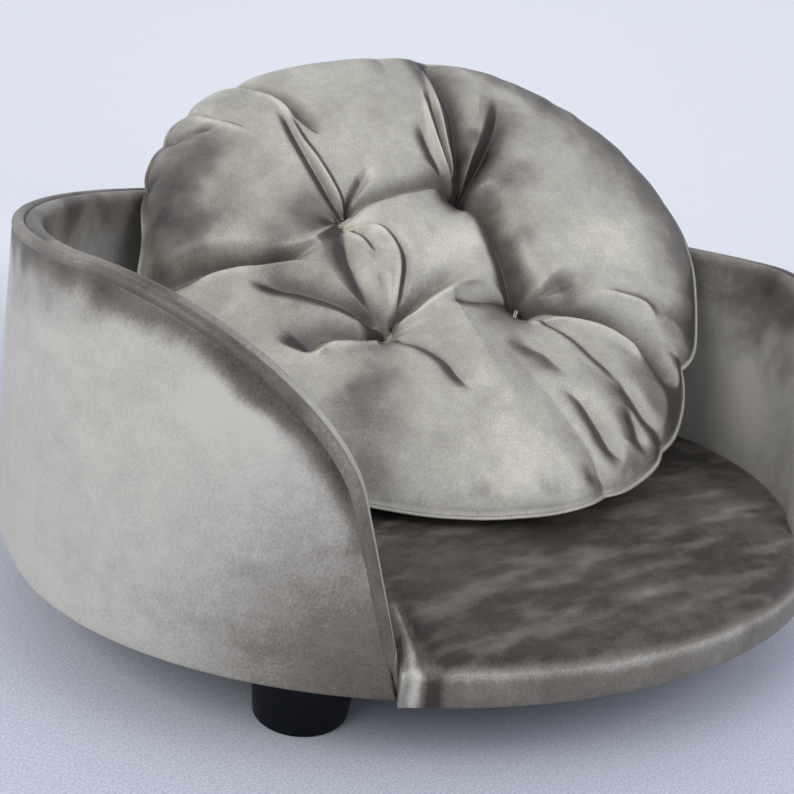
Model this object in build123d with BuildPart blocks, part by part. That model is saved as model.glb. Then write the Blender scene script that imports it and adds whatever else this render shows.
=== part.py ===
from build123d import *
import os
from math import asin, cos, hypot, radians, sin, sqrt, tan

# A round dog sofa bed: a padded platform on four feet, one padded wall with a piped rim that goes
# round the back and both sides, and a loose tufted cushion that leans against the wall.
# Millimetres, X to the right, Y to the back, Z up. The origin lies on the floor, under the middle
# of the sofa's footprint.

# Plan: two half ovals that meet on the sofa's widest line
half_width = 300.0
front_depth = 238.0
back_depth = 315.0

# Heights above the floor
foot_height = 45.0
rim_height = 228.5
wall_lift = 2.4
wall_lean = 6.0

# Platform layers, from the bottom up
dust_cover_thickness = 0.8
base_board_thickness = 9.0
seat_foam_thickness = 12.6
cover_thickness = 1.2
cover_wrap = 25.0
seat_edge_radius = 9.0
seat_corner_radius = 10.0
seat_notch_radius = 4.0

# Wall layers, from the outside in
outer_foam_thickness = 3.2
wall_board_thickness = 4.0
inner_foam_thickness = 8.4
crest_radius = 7.0
crest_outer_radius = 2.0
board_drop = 6.0

# Piping along the rim
piping_radius = 3.5
piping_steps_arm = 9
piping_steps_edge = 4
piping_steps_back = 17
bend_share = 0.45

# The arm's outline, drawn on a plane that faces the wall square on at the arm's front
arm_turn = 32.3
arm_tip = -52.0
arm_edge_angle = 17.0
arm_edge_top = 145.0
arm_level = -226.0
arm_edge_pull = 35.0
arm_level_pull = 72.0

# Feet and their fixings
foot_side_inset = 115.0
foot_front_inset = 123.0
foot_back_inset = 150.0
foot_bottom_radius = 26.0
foot_top_radius = 30.0
foot_edge_radius = 1.5
bolt_radius = 2.95
bolt_head_radius = 5.2
bolt_head_height = 4.0
bolt_seat_height = 24.0
bolt_socket_radius = 2.6
bolt_socket_depth = 2.5
nut_barrel_radius = 4.0
nut_flange_radius = 9.0
nut_flange_thickness = 1.2
nut_barrel_length = 8.0
thread_play = 0.05

# Screws that hold the wall's board to the edge of the base board
wall_screw_count = 9
wall_screw_first_angle = -37.0
wall_screw_last_angle = 217.0
screw_radius = 1.5
screw_head_radius = 2.9
screw_head_height = 1.8
screw_length = 25.0
screw_tip_length = 4.0
screw_slot_width = 0.8
screw_slot_depth = 0.7

# The loose cushion: its length and place follow the sofa's half width, its other shares its length
cushion_share = 0.77
cushion_side_share = -0.0867
fold_start_share = -0.91
fold_length_share = 0.9
tuft_spacing_share = 0.455
cushion_front_height = 44.0
cushion_back_height = 33.0
cushion_cover_thickness = 1.0
cushion_turn = 30.5
lower_tilt = 18.0
upper_tilt = 46.8
crown_power = 3.0
crown_fullness = 0.52
crown_pull = 4 / 3
crown_shoulder = 0.88
cushion_last_angle = 84.0
cushion_sections = 13
cushion_probe_rows = 120
cushion_probe_columns = 30
tuft_turn = 21.4
tuft_side_shift = 6.0
tuft_down_shift = 8.0
tuft_mouth_radius = 46.0
tuft_mouth_rise = 3.0
tuft_floor_radius = 3.0
tuft_depth = 27.0
tuft_sides = ((0, 1), (1, 3), (3, 2), (2, 0))
groove_radius = 22.0
groove_depth = 9.0
thread_radius = 0.9
thread_head_radius = 2.6
thread_head_thickness = 1.0

# Clearances and the overrun of every cut
clearance = 0.3
cushion_clearance = 0.6
overrun = 20.0

# Sizes that follow
widest_y = (front_depth - back_depth) / 2
board_bottom = foot_height + dust_cover_thickness
board_top = board_bottom + base_board_thickness
foam_top = board_top + seat_foam_thickness
seat_top = foam_top + cover_thickness
wrap_bottom = board_bottom - cover_thickness
wall_bottom = foot_height + wall_lift + dust_cover_thickness
outer_foam_inset = cover_thickness
wall_board_inset = outer_foam_inset + outer_foam_thickness
inner_foam_inset = wall_board_inset + wall_board_thickness
inner_cover_inset = inner_foam_inset + inner_foam_thickness
wall_thickness = inner_cover_inset + cover_thickness
piping_band = 2 * (piping_radius + clearance)
outer_drop = piping_radius + 2 * clearance
piping_bottom = board_top + piping_radius
foot_x = half_width - foot_side_inset
front_foot_y = widest_y - front_depth + foot_front_inset
back_foot_y = widest_y + back_depth - foot_back_inset
cushion_half_length = cushion_share * half_width
cushion_side_shift = cushion_side_share * half_width
fold_start = fold_start_share * cushion_half_length
fold_length = fold_length_share * cushion_half_length
tuft_spacing = tuft_spacing_share * cushion_half_length


def lean_at(height):
    """How far the wall has leant inwards at a height."""
    return wall_lean * (height - foot_height) / (rim_height - foot_height)


def plan_face(inset):
    """The sofa's plan, drawn smaller by an inset."""
    with BuildSketch() as face:
        with BuildLine():
            EllipticalCenterArc((0, widest_y), half_width - inset, back_depth - inset, 0, arc_size=180)
            EllipticalCenterArc((0, widest_y), half_width - inset, front_depth - inset, 180, arc_size=180)
        make_face()
    return face.sketch


def envelope(inset, bottom, top):
    """The plan between two heights, leaning inwards as the wall does."""
    with BuildPart() as body:
        for height in (bottom, top):
            with BuildSketch(Plane.XY.offset(height)):
                add(plan_face(inset + lean_at(height)))
        loft(ruled=True)
    return body.part


def arm_plane():
    """The upright plane of the left arm's outline: its X axis runs forwards along the wall."""
    turn = radians(arm_turn)
    return Plane(
        origin=(0, widest_y, 0),
        x_dir=(cos(turn), -sin(turn), 0),
        z_dir=(-sin(turn), -cos(turn), 0),
    )


def arm_points(drop):
    """Ends and pulls of the arm's round shoulder, moved into the wall by a drop."""
    angle = radians(arm_edge_angle)
    edge_top_x = arm_tip - tan(angle) * (arm_edge_top - wall_bottom)
    low = (edge_top_x - drop * cos(angle), arm_edge_top - drop * sin(angle))
    high = (arm_level, rim_height - drop)
    shrink = hypot(high[0] - low[0], high[1] - low[1])
    shrink /= hypot(arm_level - edge_top_x, rim_height - arm_edge_top)
    low_pull = (
        low[0] - shrink * arm_edge_pull * sin(angle),
        low[1] + shrink * arm_edge_pull * cos(angle),
    )
    high_pull = (arm_level + shrink * arm_level_pull, rim_height - drop)
    return low, low_pull, high_pull, high


def edge_x(drop, height):
    """Where the arm's straight front edge stands at a height."""
    low = arm_points(drop)[0]
    return low[0] + tan(radians(arm_edge_angle)) * (low[1] - height)


def arm_cutter(drop):
    """What is cut away above and in front of the left arm."""
    low, low_pull, high_pull, high = arm_points(drop)
    foot = (edge_x(drop, 0), 0)
    front = front_depth * sin(radians(arm_turn)) + overrun
    roof = rim_height + overrun
    with BuildPart() as cutter:
        with BuildSketch(arm_plane()):
            with BuildLine():
                Line(foot, low)
                Bezier(low, low_pull, high_pull, high)
                Polyline(high, (high[0], roof), (front, roof), (front, 0), foot)
            make_face()
        extrude(amount=half_width + overrun)
    return cutter.part


def wall_layer(outer, inner, bottom, drop):
    """One layer of the wall: a band of the plan, cut to the outline of both arms."""
    cutter = arm_cutter(drop)
    with BuildPart() as layer:
        add(envelope(outer, bottom, rim_height - drop))
        add(envelope(inner, bottom - overrun, rim_height + overrun), mode=Mode.SUBTRACT)
        add(cutter, mode=Mode.SUBTRACT)
        add(cutter.mirror(Plane.YZ), mode=Mode.SUBTRACT)
    return layer.part


def on_inner_face(edge, inner, bottom):
    """Whether an edge is the top edge of a wall layer's inner or outer face at an inset."""
    middle = edge @ 0.5
    inset = inner + lean_at(middle.Z)
    depth = back_depth if middle.Y > widest_y else front_depth
    across = middle.X / (half_width - inset)
    along = (middle.Y - widest_y) / (depth - inset)
    near = abs(across * across + along * along - 1) < clearance / half_width
    return near and middle.Z > bottom + clearance and abs(middle.Y - widest_y) > clearance


def padded_layer(outer, inner, bottom, drop, inner_radius, outer_radius):
    """A wall layer whose crest is rounded on both sides, also down the arms' front edges."""
    with BuildPart() as layer:
        add(wall_layer(outer, inner, bottom, drop))
        crest = [edge for edge in layer.edges() if on_inner_face(edge, inner, bottom)]
        fillet(crest, radius=inner_radius)
        shoulder = [edge for edge in layer.edges() if on_inner_face(edge, outer, bottom)]
        fillet(shoulder, radius=outer_radius)
    return layer.part


def front_wedge(gap):
    """The part of the plan between the arms' tips, a gap clear of them."""
    turn = radians(arm_turn)
    apex_y = widest_y - (arm_tip + gap) / sin(turn)
    reach = half_width + back_depth
    with BuildSketch() as wedge:
        with BuildLine():
            Polyline(
                (0, apex_y),
                (-reach * sin(turn), apex_y - reach * cos(turn)),
                (reach * sin(turn), apex_y - reach * cos(turn)),
                (0, apex_y),
            )
        make_face()
    return wedge.sketch


def seat_face(front_inset, wall_inset):
    """The platform's plan: out to the edge between the arms, and inside the wall elsewhere."""
    with BuildSketch() as face:
        add(plan_face(front_inset))
        add(front_wedge(clearance + front_inset), mode=Mode.INTERSECT)
        add(plan_face(wall_inset))
    return face.sketch


def is_notch(point, wall_inset):
    """Whether a corner of the platform's plan is one where the wall's inner face meets an arm's front."""
    across = point.X / (half_width - wall_inset)
    along = (point.Y - widest_y) / (front_depth - wall_inset)
    near = abs(across * across + along * along - 1) < clearance / half_width
    return near and along < -clearance / half_width


def pad(front_inset, wall_inset, bottom, top, edge_radius):
    """A padded layer of the platform with rounded corners and a rounded top edge."""
    with BuildPart() as body:
        with BuildSketch(Plane.XY.offset(bottom)) as face:
            add(seat_face(front_inset, wall_inset))
            fillet(face.vertices().sort_by(Axis.Y)[:2], radius=seat_corner_radius - front_inset)
            notches = [point for point in face.vertices() if is_notch(point, wall_inset)]
            fillet(notches, radius=seat_notch_radius)
        extrude(amount=top - bottom)
        fillet(body.faces().sort_by(Axis.Z)[-1].edges(), radius=edge_radius)
    return body.part


def oval_place(angle, inset, height):
    """A point of the leaning plan outline and the way out of it, by the oval's angle in degrees."""
    turn = radians(angle)
    depth = back_depth if sin(turn) > 0 else front_depth
    radius_x = half_width - inset - lean_at(height)
    radius_y = depth - inset - lean_at(height)
    place = Vector(radius_x * cos(turn), widest_y + radius_y * sin(turn), height)
    outward = Vector(cos(turn) / radius_x, sin(turn) / radius_y, 0).normalized()
    return place, outward


def on_arm(along, height, inset):
    """The point of the left wall behind a point of the arm's plane."""
    plane = arm_plane()
    radius_x = half_width - inset - lean_at(height)
    radius_y = front_depth - inset - lean_at(height)
    start = plane.x_dir * along
    way = plane.z_dir
    square = (way.X / radius_x) ** 2 + (way.Y / radius_y) ** 2
    cross = 2 * (start.X * way.X / radius_x**2 + start.Y * way.Y / radius_y**2)
    rest = (start.X / radius_x) ** 2 + (start.Y / radius_y) ** 2 - 1
    reach = (-cross + sqrt(cross * cross - 4 * square * rest)) / (2 * square)
    place = start + way * reach
    return Vector(place.X, widest_y + place.Y, height)


def piping_line():
    """The piping's centre line, from the left arm's tip round the back to the right arm's tip."""
    low, low_pull, high_pull, high = arm_points(0)
    arm = []
    for step in range(piping_steps_edge):
        height = piping_bottom + (low[1] - piping_bottom) * step / piping_steps_edge
        arm.append((edge_x(0, height), height))
    for step in range(piping_steps_arm + 1):
        share = step / piping_steps_arm
        rest = 1 - share
        weights = (rest**3, 3 * share * rest**2, 3 * share**2 * rest, share**3)
        ends = zip(weights, (low, low_pull, high_pull, high))
        arm.append(tuple(sum(column) for column in zip(*((w * x, w * z) for w, (x, z) in ends))))
    left = [on_arm(along, height, piping_radius) for along, height in arm]
    radius_x = half_width - piping_radius - lean_at(rim_height)
    radius_y = front_depth - piping_radius - lean_at(rim_height)
    level = Vector(left[-1].X / radius_x, (left[-1].Y - widest_y) / radius_y, 0)
    first_angle = 180 + abs(Vector(-1, 0, 0).get_angle(level))
    for step in range(1, piping_steps_back + 1):
        angle = first_angle + (90 - first_angle) * step / piping_steps_back
        left.append(oval_place(angle, piping_radius, rim_height)[0])
    right = [Vector(-point.X, point.Y, point.Z) for point in reversed(left[:-1])]
    return left + right


def bend_radii(points):
    """The largest radius that each bend of a tube's line leaves room for."""
    radii = []
    for before, here, after in zip(points, points[1:], points[2:]):
        come = here - before
        leave = after - here
        turn = radians(come.get_angle(leave))
        radii.append(bend_share * min(come.length, leave.length) / tan(turn / 2))
    return radii


def wall_screw(angle):
    """A countersunk screw through the wall's board into the edge of the base board."""
    height = (wall_bottom + board_top) / 2
    place, outward = oval_place(angle, wall_board_inset + clearance, height)
    head = Plane(origin=tuple(place), x_dir=(0, 0, 1), z_dir=tuple(-outward))
    tip_start = screw_length - screw_tip_length
    with BuildPart() as screw:
        with BuildSketch(Plane(origin=head.origin, x_dir=head.z_dir, z_dir=head.x_dir)):
            with BuildLine():
                Polyline(
                    (0, 0),
                    (0, screw_head_radius),
                    (screw_head_height, screw_radius),
                    (tip_start, screw_radius),
                    (screw_length, 0),
                    (0, 0),
                )
            make_face()
        revolve(axis=Axis(head.origin, head.z_dir))
        with BuildSketch(head):
            Rectangle(screw_head_radius, screw_slot_width)
            Rectangle(screw_slot_width, screw_head_radius)
        extrude(amount=screw_slot_depth, mode=Mode.SUBTRACT)
    return screw.part


def cushion_frame(along):
    """Where the cushion's middle sheet runs, and its tilt, at a distance along it from its middle."""
    low = radians(lower_tilt)
    high = radians(upper_tilt)
    bend = fold_length / (high - low)
    before = min(along, fold_start) - fold_start
    inside = min(max(along - fold_start, 0), fold_length)
    after = max(along - fold_start - fold_length, 0)
    tilt = low + inside / bend
    forward = before * cos(low) + bend * (sin(tilt) - sin(low)) + after * cos(high)
    up = before * sin(low) + bend * (cos(low) - cos(tilt)) + after * sin(high)
    return forward, up, tilt


def cushion_plane(along, shift):
    """The upright cross-section plane of the cushion at a distance along its middle sheet."""
    turn = radians(cushion_turn)
    forward, up, tilt = cushion_frame(along)
    way = Vector(sin(turn), cos(turn), 0)
    origin = shift + way * forward + Vector(0, 0, up)
    return Plane(
        origin=tuple(origin),
        x_dir=(cos(turn), -sin(turn), 0),
        z_dir=tuple(way * cos(tilt) + Vector(0, 0, sin(tilt))),
    )


def cushion_section(along):
    """Half the cushion's width, and how far its front (1) and back (-1) stand out, along its length."""
    share = abs(along) / cushion_half_length
    width = cushion_half_length * sqrt(1 - share**2)
    fullness = (1 - share**crown_power) ** crown_fullness
    return width, {1: cushion_front_height * fullness, -1: cushion_back_height * fullness}


def crown_at(across, along, face):
    """How far the cushion's front (1) or back (-1) stands from its middle sheet."""
    width, heights = cushion_section(along)
    bend = 3 * crown_shoulder - 1
    scale = 2 * sqrt((1 + crown_shoulder) / bend)
    step = scale * sin(asin(16 * across / (width * bend * scale**3)) / 3)
    return heights[face] * (1 - step**2)


def cushion_shift():
    """How far the cushion moves to lie on the platform and lean against the wall's crest."""
    turn = radians(cushion_turn)
    way = Vector(sin(turn), cos(turn), 0)
    side = Vector(cos(turn), -sin(turn), 0)
    places = []
    for row in range(cushion_probe_rows + 1):
        end = cushion_half_length * sin(radians(cushion_last_angle))
        along = end * (2 * row / cushion_probe_rows - 1)
        width = cushion_section(along)[0]
        plane = cushion_plane(along, side * cushion_side_shift)
        for column in range(cushion_probe_columns + 1):
            across = width * (2 * column / cushion_probe_columns - 1)
            out = plane.y_dir * crown_at(across, along, -1)
            places.append(plane.origin + plane.x_dir * across + out)
    lift = seat_top + cushion_clearance - min(place.Z for place in places)
    slides = []
    for place in places:
        height = place.Z + lift
        if height < rim_height:
            inset = wall_thickness + lean_at(height)
            radius_x = half_width - inset
            radius_y = (back_depth if place.Y > 0 else front_depth) - inset
            square = (way.X / radius_x) ** 2 + (way.Y / radius_y) ** 2
            cross = 2 * (place.X * way.X / radius_x**2 + place.Y * way.Y / radius_y**2)
            rest = (place.X / radius_x) ** 2 + (place.Y / radius_y) ** 2 - 1
            slides.append((-cross + sqrt(cross * cross - 4 * square * rest)) / (2 * square))
    slide = min(slides) - cushion_clearance
    return side * cushion_side_shift + way * slide + Vector(0, widest_y, lift)


def tuft_places():
    """The four tufts, as distances across and along the cushion."""
    turn = radians(tuft_turn)
    places = []
    for row in (1, -1):
        for column in (-1, 1):
            x = column * tuft_spacing / 2
            y = row * tuft_spacing / 2
            across = x * cos(turn) - y * sin(turn) + tuft_side_shift
            along = x * sin(turn) + y * cos(turn) - tuft_down_shift
            places.append((across, along))
    return places


def tuft_plane(across, along, shift, face):
    """A plane on the cushion's front (face 1) or back (face -1) at a tuft, looking outwards."""
    plane = cushion_plane(along, shift)
    outward = plane.y_dir * -face
    origin = plane.origin + plane.x_dir * across + outward * crown_at(across, along, face)
    return Plane(origin=tuple(origin), x_dir=tuple(plane.x_dir), z_dir=tuple(outward))


def tuft_hollow(plane, inset):
    """The round-shouldered funnel that a pulled thread leaves in the cushion."""
    floor = tuft_floor_radius + inset
    reach = tuft_mouth_radius - tuft_floor_radius
    drop = tuft_depth + tuft_mouth_rise
    top = tuft_mouth_rise - inset
    arc = (reach**2 + drop**2) / (2 * drop)
    half_turn = asin(reach / arc) / 2
    middle = (floor + reach - arc * sin(half_turn), top - arc + arc * cos(half_turn))
    side = Plane(origin=plane.origin, x_dir=plane.x_dir, z_dir=plane.y_dir * -1)
    with BuildPart() as hollow:
        with BuildSketch(side):
            with BuildLine():
                Line((0, -tuft_depth - inset), (floor, -tuft_depth - inset))
                ThreePointArc((floor, -tuft_depth - inset), middle, (floor + reach, top))
                Polyline((floor + reach, top), (floor + reach, overrun), (0, overrun))
                Line((0, overrun), (0, -tuft_depth - inset))
            make_face()
        revolve(axis=Axis(plane.origin, plane.z_dir))
    return hollow.part


def tuft_groove(start, end, inset):
    """The round-bottomed valley that the cloth is drawn into between two tufts."""
    rise = groove_radius - groove_depth
    first = start.origin + start.z_dir * rise
    way = end.origin + end.z_dir * rise - first
    with BuildPart() as groove:
        with BuildSketch(Plane(origin=tuple(first), z_dir=tuple(way.normalized()))):
            Circle(groove_radius + inset)
        extrude(amount=way.length)
    return groove.part


def tuft_cuts(inset, shift):
    """All that the tufts draw in on both faces of the cushion."""
    cuts = []
    for face in (1, -1):
        tufts = [tuft_plane(across, along, shift, face) for across, along in tuft_places()]
        cuts += [tuft_hollow(tuft, inset) for tuft in tufts]
        cuts += [tuft_groove(tufts[start], tufts[end], inset) for start, end in tuft_sides]
    return cuts


def cushion_body(inset, shift):
    """The cushion's stuffed form, an inset inside its outer face, drawn in at its tufts and between them."""
    inner_share = 1 - inset / cushion_half_length
    with BuildPart() as body:
        for step in range(cushion_sections):
            angle = radians(cushion_last_angle) * (2 * step / (cushion_sections - 1) - 1)
            along = cushion_half_length * sin(angle)
            width, heights = cushion_section(along)
            width *= inner_share
            pull = crown_shoulder * width
            front = -crown_pull * (heights[1] - inset)
            back = crown_pull * (heights[-1] - inset)
            with BuildSketch(cushion_plane(along * inner_share, shift)):
                with BuildLine():
                    Bezier((-width, 0), (-pull, back), (pull, back), (width, 0))
                    Bezier((width, 0), (pull, front), (-pull, front), (-width, 0))
                make_face()
        loft()
        add(tuft_cuts(inset, shift), mode=Mode.SUBTRACT)
    return body.part


def thread_bore(across, along, shift, radius):
    """A round rod along a tuft's thread, from one tuft's floor to the other's."""
    front = tuft_plane(across, along, shift, 1)
    back = tuft_plane(across, along, shift, -1)
    start = back.origin - back.z_dir * tuft_depth
    length = (front.origin - front.z_dir * tuft_depth - start).length
    with BuildPart() as rod:
        with BuildSketch(Plane(origin=start, x_dir=front.x_dir, z_dir=front.z_dir)):
            Circle(radius)
        extrude(amount=length)
    return rod.part


os.makedirs("parts", exist_ok=True)

foot_places = {
    "front_left": (-foot_x, front_foot_y),
    "front_right": (foot_x, front_foot_y),
    "back_left": (-foot_x, back_foot_y),
    "back_right": (foot_x, back_foot_y),
}

# Feet, and the bolts and tee nuts that hold them
for corner, (x, y) in foot_places.items():
    with BuildPart() as foot:
        with Locations((x, y, 0)):
            standing = (Align.CENTER, Align.CENTER, Align.MIN)
            Cone(foot_bottom_radius, foot_top_radius, foot_height, align=standing)
        fillet(foot.edges().filter_by(GeomType.CIRCLE).sort_by(Axis.Z)[0], radius=foot_edge_radius)
        with BuildSketch(Plane((x, y, 0))):
            Circle(bolt_head_radius + clearance)
        extrude(amount=bolt_seat_height, mode=Mode.SUBTRACT)
        with BuildSketch(Plane((x, y, 0))):
            Circle(bolt_radius + clearance)
        extrude(amount=foot_height, mode=Mode.SUBTRACT)
    foot.part.label = f"{corner}_foot"
    export_step(foot.part, f"parts/{corner}_foot.step")

    with BuildPart() as bolt:
        with BuildSketch(Plane((x, y, bolt_seat_height))):
            Circle(bolt_head_radius)
        extrude(amount=-bolt_head_height)
        with BuildSketch(Plane((x, y, bolt_seat_height))):
            Circle(bolt_radius)
        extrude(amount=board_top - clearance - bolt_seat_height)
        with BuildSketch(Plane((x, y, bolt_seat_height - bolt_head_height))):
            RegularPolygon(bolt_socket_radius, 6)
        extrude(amount=bolt_socket_depth, mode=Mode.SUBTRACT)
    bolt.part.label = f"{corner}_foot_bolt"
    export_step(bolt.part, f"parts/{corner}_foot_bolt.step")

    with BuildPart() as tee_nut:
        with BuildSketch(Plane((x, y, board_top))):
            Circle(nut_flange_radius)
        extrude(amount=-nut_flange_thickness)
        with BuildSketch(Plane((x, y, board_top))):
            Circle(nut_barrel_radius)
        extrude(amount=-nut_barrel_length)
        with BuildSketch(Plane((x, y, board_top))):
            Circle(bolt_radius + thread_play)
        extrude(amount=-nut_barrel_length, mode=Mode.SUBTRACT)
    tee_nut.part.label = f"{corner}_tee_nut"
    export_step(tee_nut.part, f"parts/{corner}_tee_nut.step")

# Screws round the wall
screw_step = (wall_screw_last_angle - wall_screw_first_angle) / (wall_screw_count - 1)
screws = []
for number in range(wall_screw_count):
    screw = wall_screw(wall_screw_first_angle + number * screw_step)
    screw.label = f"wall_screw_{number + 1}"
    export_step(screw, f"parts/wall_screw_{number + 1}.step")
    screws.append(screw)

# Platform
with BuildPart() as base_board:
    with BuildSketch(Plane.XY.offset(board_bottom)):
        add(seat_face(cover_thickness, inner_foam_inset + lean_at(board_top)))
    extrude(amount=base_board_thickness)
    for x, y in foot_places.values():
        with BuildSketch(Plane((x, y, board_top))):
            Circle(nut_flange_radius)
        extrude(amount=-nut_flange_thickness, mode=Mode.SUBTRACT)
        with BuildSketch(Plane((x, y, board_top))):
            Circle(nut_barrel_radius)
        extrude(amount=-nut_barrel_length, mode=Mode.SUBTRACT)
        with BuildSketch(Plane((x, y, board_top))):
            Circle(bolt_radius + clearance)
        extrude(amount=-base_board_thickness, mode=Mode.SUBTRACT)
    add(screws, mode=Mode.SUBTRACT)
base_board.part.label = "base_board"
export_step(base_board.part, "parts/base_board.step")

with BuildPart() as dust_cover:
    with BuildSketch(Plane.XY.offset(foot_height)):
        add(plan_face(cover_wrap + clearance))
        with Locations(*foot_places.values()):
            Circle(bolt_radius + clearance, mode=Mode.SUBTRACT)
    extrude(amount=dust_cover_thickness)
dust_cover.part.label = "dust_cover"
export_step(dust_cover.part, "parts/dust_cover.step")

seat_inset = wall_thickness + lean_at(seat_top) + clearance
with BuildPart() as base_foam:
    foam_inset = seat_inset + cover_thickness
    add(pad(cover_thickness, foam_inset, board_top, foam_top, seat_edge_radius - cover_thickness))
base_foam.part.label = "base_foam"
export_step(base_foam.part, "parts/base_foam.step")

with BuildPart() as base_cover:
    add(pad(0, seat_inset, board_top, seat_top, seat_edge_radius))
    add(base_foam.part, mode=Mode.SUBTRACT)
    with BuildSketch(Plane.XY.offset(board_bottom)):
        add(plan_face(0))
        add(plan_face(cover_thickness), mode=Mode.SUBTRACT)
        add(front_wedge(seat_corner_radius), mode=Mode.INTERSECT)
    extrude(amount=base_board_thickness)
    with BuildSketch(Plane.XY.offset(wrap_bottom)):
        add(plan_face(0))
        add(plan_face(cover_wrap), mode=Mode.SUBTRACT)
        add(front_wedge(seat_corner_radius), mode=Mode.INTERSECT)
    extrude(amount=cover_thickness)
base_cover.part.label = "base_cover"
export_step(base_cover.part, "parts/base_cover.step")

# Wall
with BuildPart() as wall_board:
    add(wall_layer(wall_board_inset, inner_foam_inset, wall_bottom, board_drop))
    add(screws, mode=Mode.SUBTRACT)
wall_board.part.label = "wall_board"
export_step(wall_board.part, "parts/wall_board.step")

with BuildPart() as outer_foam:
    add(wall_layer(outer_foam_inset, wall_board_inset, wall_bottom, outer_drop))
outer_foam.part.label = "outer_foam"
export_step(outer_foam.part, "parts/outer_foam.step")

with BuildPart() as outer_cover:
    add(wall_layer(0, outer_foam_inset, wall_bottom, outer_drop))
outer_cover.part.label = "outer_cover"
export_step(outer_cover.part, "parts/outer_cover.step")

board_keep = wall_layer(0, inner_foam_inset, board_top - overrun, board_drop)
foam_envelope = padded_layer(
    piping_band + cover_thickness,
    inner_cover_inset,
    board_top,
    cover_thickness,
    crest_radius - cover_thickness,
    crest_outer_radius - cover_thickness,
)
with BuildPart() as inner_foam:
    add(foam_envelope)
    add(board_keep, mode=Mode.SUBTRACT)
inner_foam.part.label = "inner_foam"
export_step(inner_foam.part, "parts/inner_foam.step")

with BuildPart() as inner_cover:
    add(padded_layer(piping_band, wall_thickness, board_top, 0, crest_radius, crest_outer_radius))
    add(foam_envelope, mode=Mode.SUBTRACT)
    add(board_keep, mode=Mode.SUBTRACT)
inner_cover.part.label = "inner_cover"
export_step(inner_cover.part, "parts/inner_cover.step")

piping_line_points = piping_line()
with BuildPart() as rim_piping:
    with BuildLine() as path:
        FilletPolyline(*piping_line_points, radius=bend_radii(piping_line_points))
    with BuildSketch(Plane(origin=path.line @ 0, z_dir=path.line % 0)):
        Circle(piping_radius)
    sweep()
rim_piping.part.label = "rim_piping"
export_step(rim_piping.part, "parts/rim_piping.step")

# Cushion
cushion_place = cushion_shift()
stuffing = cushion_body(cushion_cover_thickness, cushion_place)
with BuildPart() as cushion_fill:
    add(stuffing)
    for across, along in tuft_places():
        add(thread_bore(across, along, cushion_place, thread_radius + clearance), mode=Mode.SUBTRACT)
cushion_fill.part.label = "cushion_fill"
export_step(cushion_fill.part, "parts/cushion_fill.step")

with BuildPart() as cushion_cover:
    add(cushion_body(0, cushion_place))
    add(stuffing, mode=Mode.SUBTRACT)
    for across, along in tuft_places():
        add(thread_bore(across, along, cushion_place, thread_radius + clearance), mode=Mode.SUBTRACT)
cushion_cover.part.label = "cushion_cover"
export_step(cushion_cover.part, "parts/cushion_cover.step")

for number, (across, along) in enumerate(tuft_places(), 1):
    with BuildPart() as thread:
        add(thread_bore(across, along, cushion_place, thread_radius))
        for face in (1, -1):
            plane = tuft_plane(across, along, cushion_place, face)
            floor = plane.origin - plane.z_dir * tuft_depth
            with BuildSketch(Plane(origin=floor, x_dir=plane.x_dir, z_dir=plane.z_dir)):
                Circle(thread_head_radius)
            extrude(amount=thread_head_thickness)
    thread.part.label = f"tuft_thread_{number}"
    export_step(thread.part, f"parts/tuft_thread_{number}.step")
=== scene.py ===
import math

import bpy
import numpy as np
from mathutils import Matrix, Vector


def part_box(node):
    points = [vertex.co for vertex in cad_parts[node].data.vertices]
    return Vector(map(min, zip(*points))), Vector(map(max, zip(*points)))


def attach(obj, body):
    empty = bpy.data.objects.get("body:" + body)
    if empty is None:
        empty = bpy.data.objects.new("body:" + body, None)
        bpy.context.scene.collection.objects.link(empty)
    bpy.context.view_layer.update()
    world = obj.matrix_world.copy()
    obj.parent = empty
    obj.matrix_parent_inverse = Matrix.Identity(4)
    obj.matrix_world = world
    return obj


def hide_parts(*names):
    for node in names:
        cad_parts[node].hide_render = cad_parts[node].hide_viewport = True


# A round dog sofa bed in crushed velvet. Lengths are in metres, X to the right, Y to the back, Z up.
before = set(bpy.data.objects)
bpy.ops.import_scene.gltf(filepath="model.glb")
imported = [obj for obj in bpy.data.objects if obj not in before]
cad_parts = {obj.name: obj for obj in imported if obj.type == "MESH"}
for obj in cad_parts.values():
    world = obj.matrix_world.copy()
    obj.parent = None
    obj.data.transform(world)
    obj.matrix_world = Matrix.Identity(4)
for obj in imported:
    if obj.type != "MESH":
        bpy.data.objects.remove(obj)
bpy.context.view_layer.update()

MM = 0.001
UP = np.array([0, 0, 1.0])

# Sofa
HALF_WIDTH = 0.300
FRONT_DEPTH = 0.238
BACK_DEPTH = 0.315
WIDEST_Y = (FRONT_DEPTH - BACK_DEPTH) / 2
FOOT_HEIGHT = 0.045
RIM_HEIGHT = 0.2285
WALL_LEAN = 0.006
WALL_BOTTOM = 0.0482
WALL_THICKNESS = 0.018
SEAT_TOP = 0.0686
PLATFORM_BOTTOM = 0.0446
SEAT_SINK = 0.012
PLATFORM_BAND_TOP = 0.014
COVER_WRAP = 0.025
COVER_THICKNESS = 0.0010

# Dust cloth: an oval that the plan gives, less the velvet's turn under the board
DUST_CLOTH_INSET = COVER_WRAP + 0.3 * MM
DUST_CLOTH_RISE = 0.2 * MM
DUST_CLOTH_THICKNESS = 0.3 * MM

# Rows across the wall's covers, in millimetres: how far past the rim's outline and how deep into the wall
OUTER_TUCK = [(-0.1, 2.6), (-0.3, 1.5), (-0.9, 0.6), (-2.0, 0.1), (-3.6, 0.0)]
INNER_CREST = [
    (0.2, 6.2), (1.5, 6.8), (2.7, 8.2), (3.4, 10.2), (3.4, 12.4), (2.5, 14.6), (0.7, 16.6), (-2.0, 17.8),
    (-5.0, 18.0),
]
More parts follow.
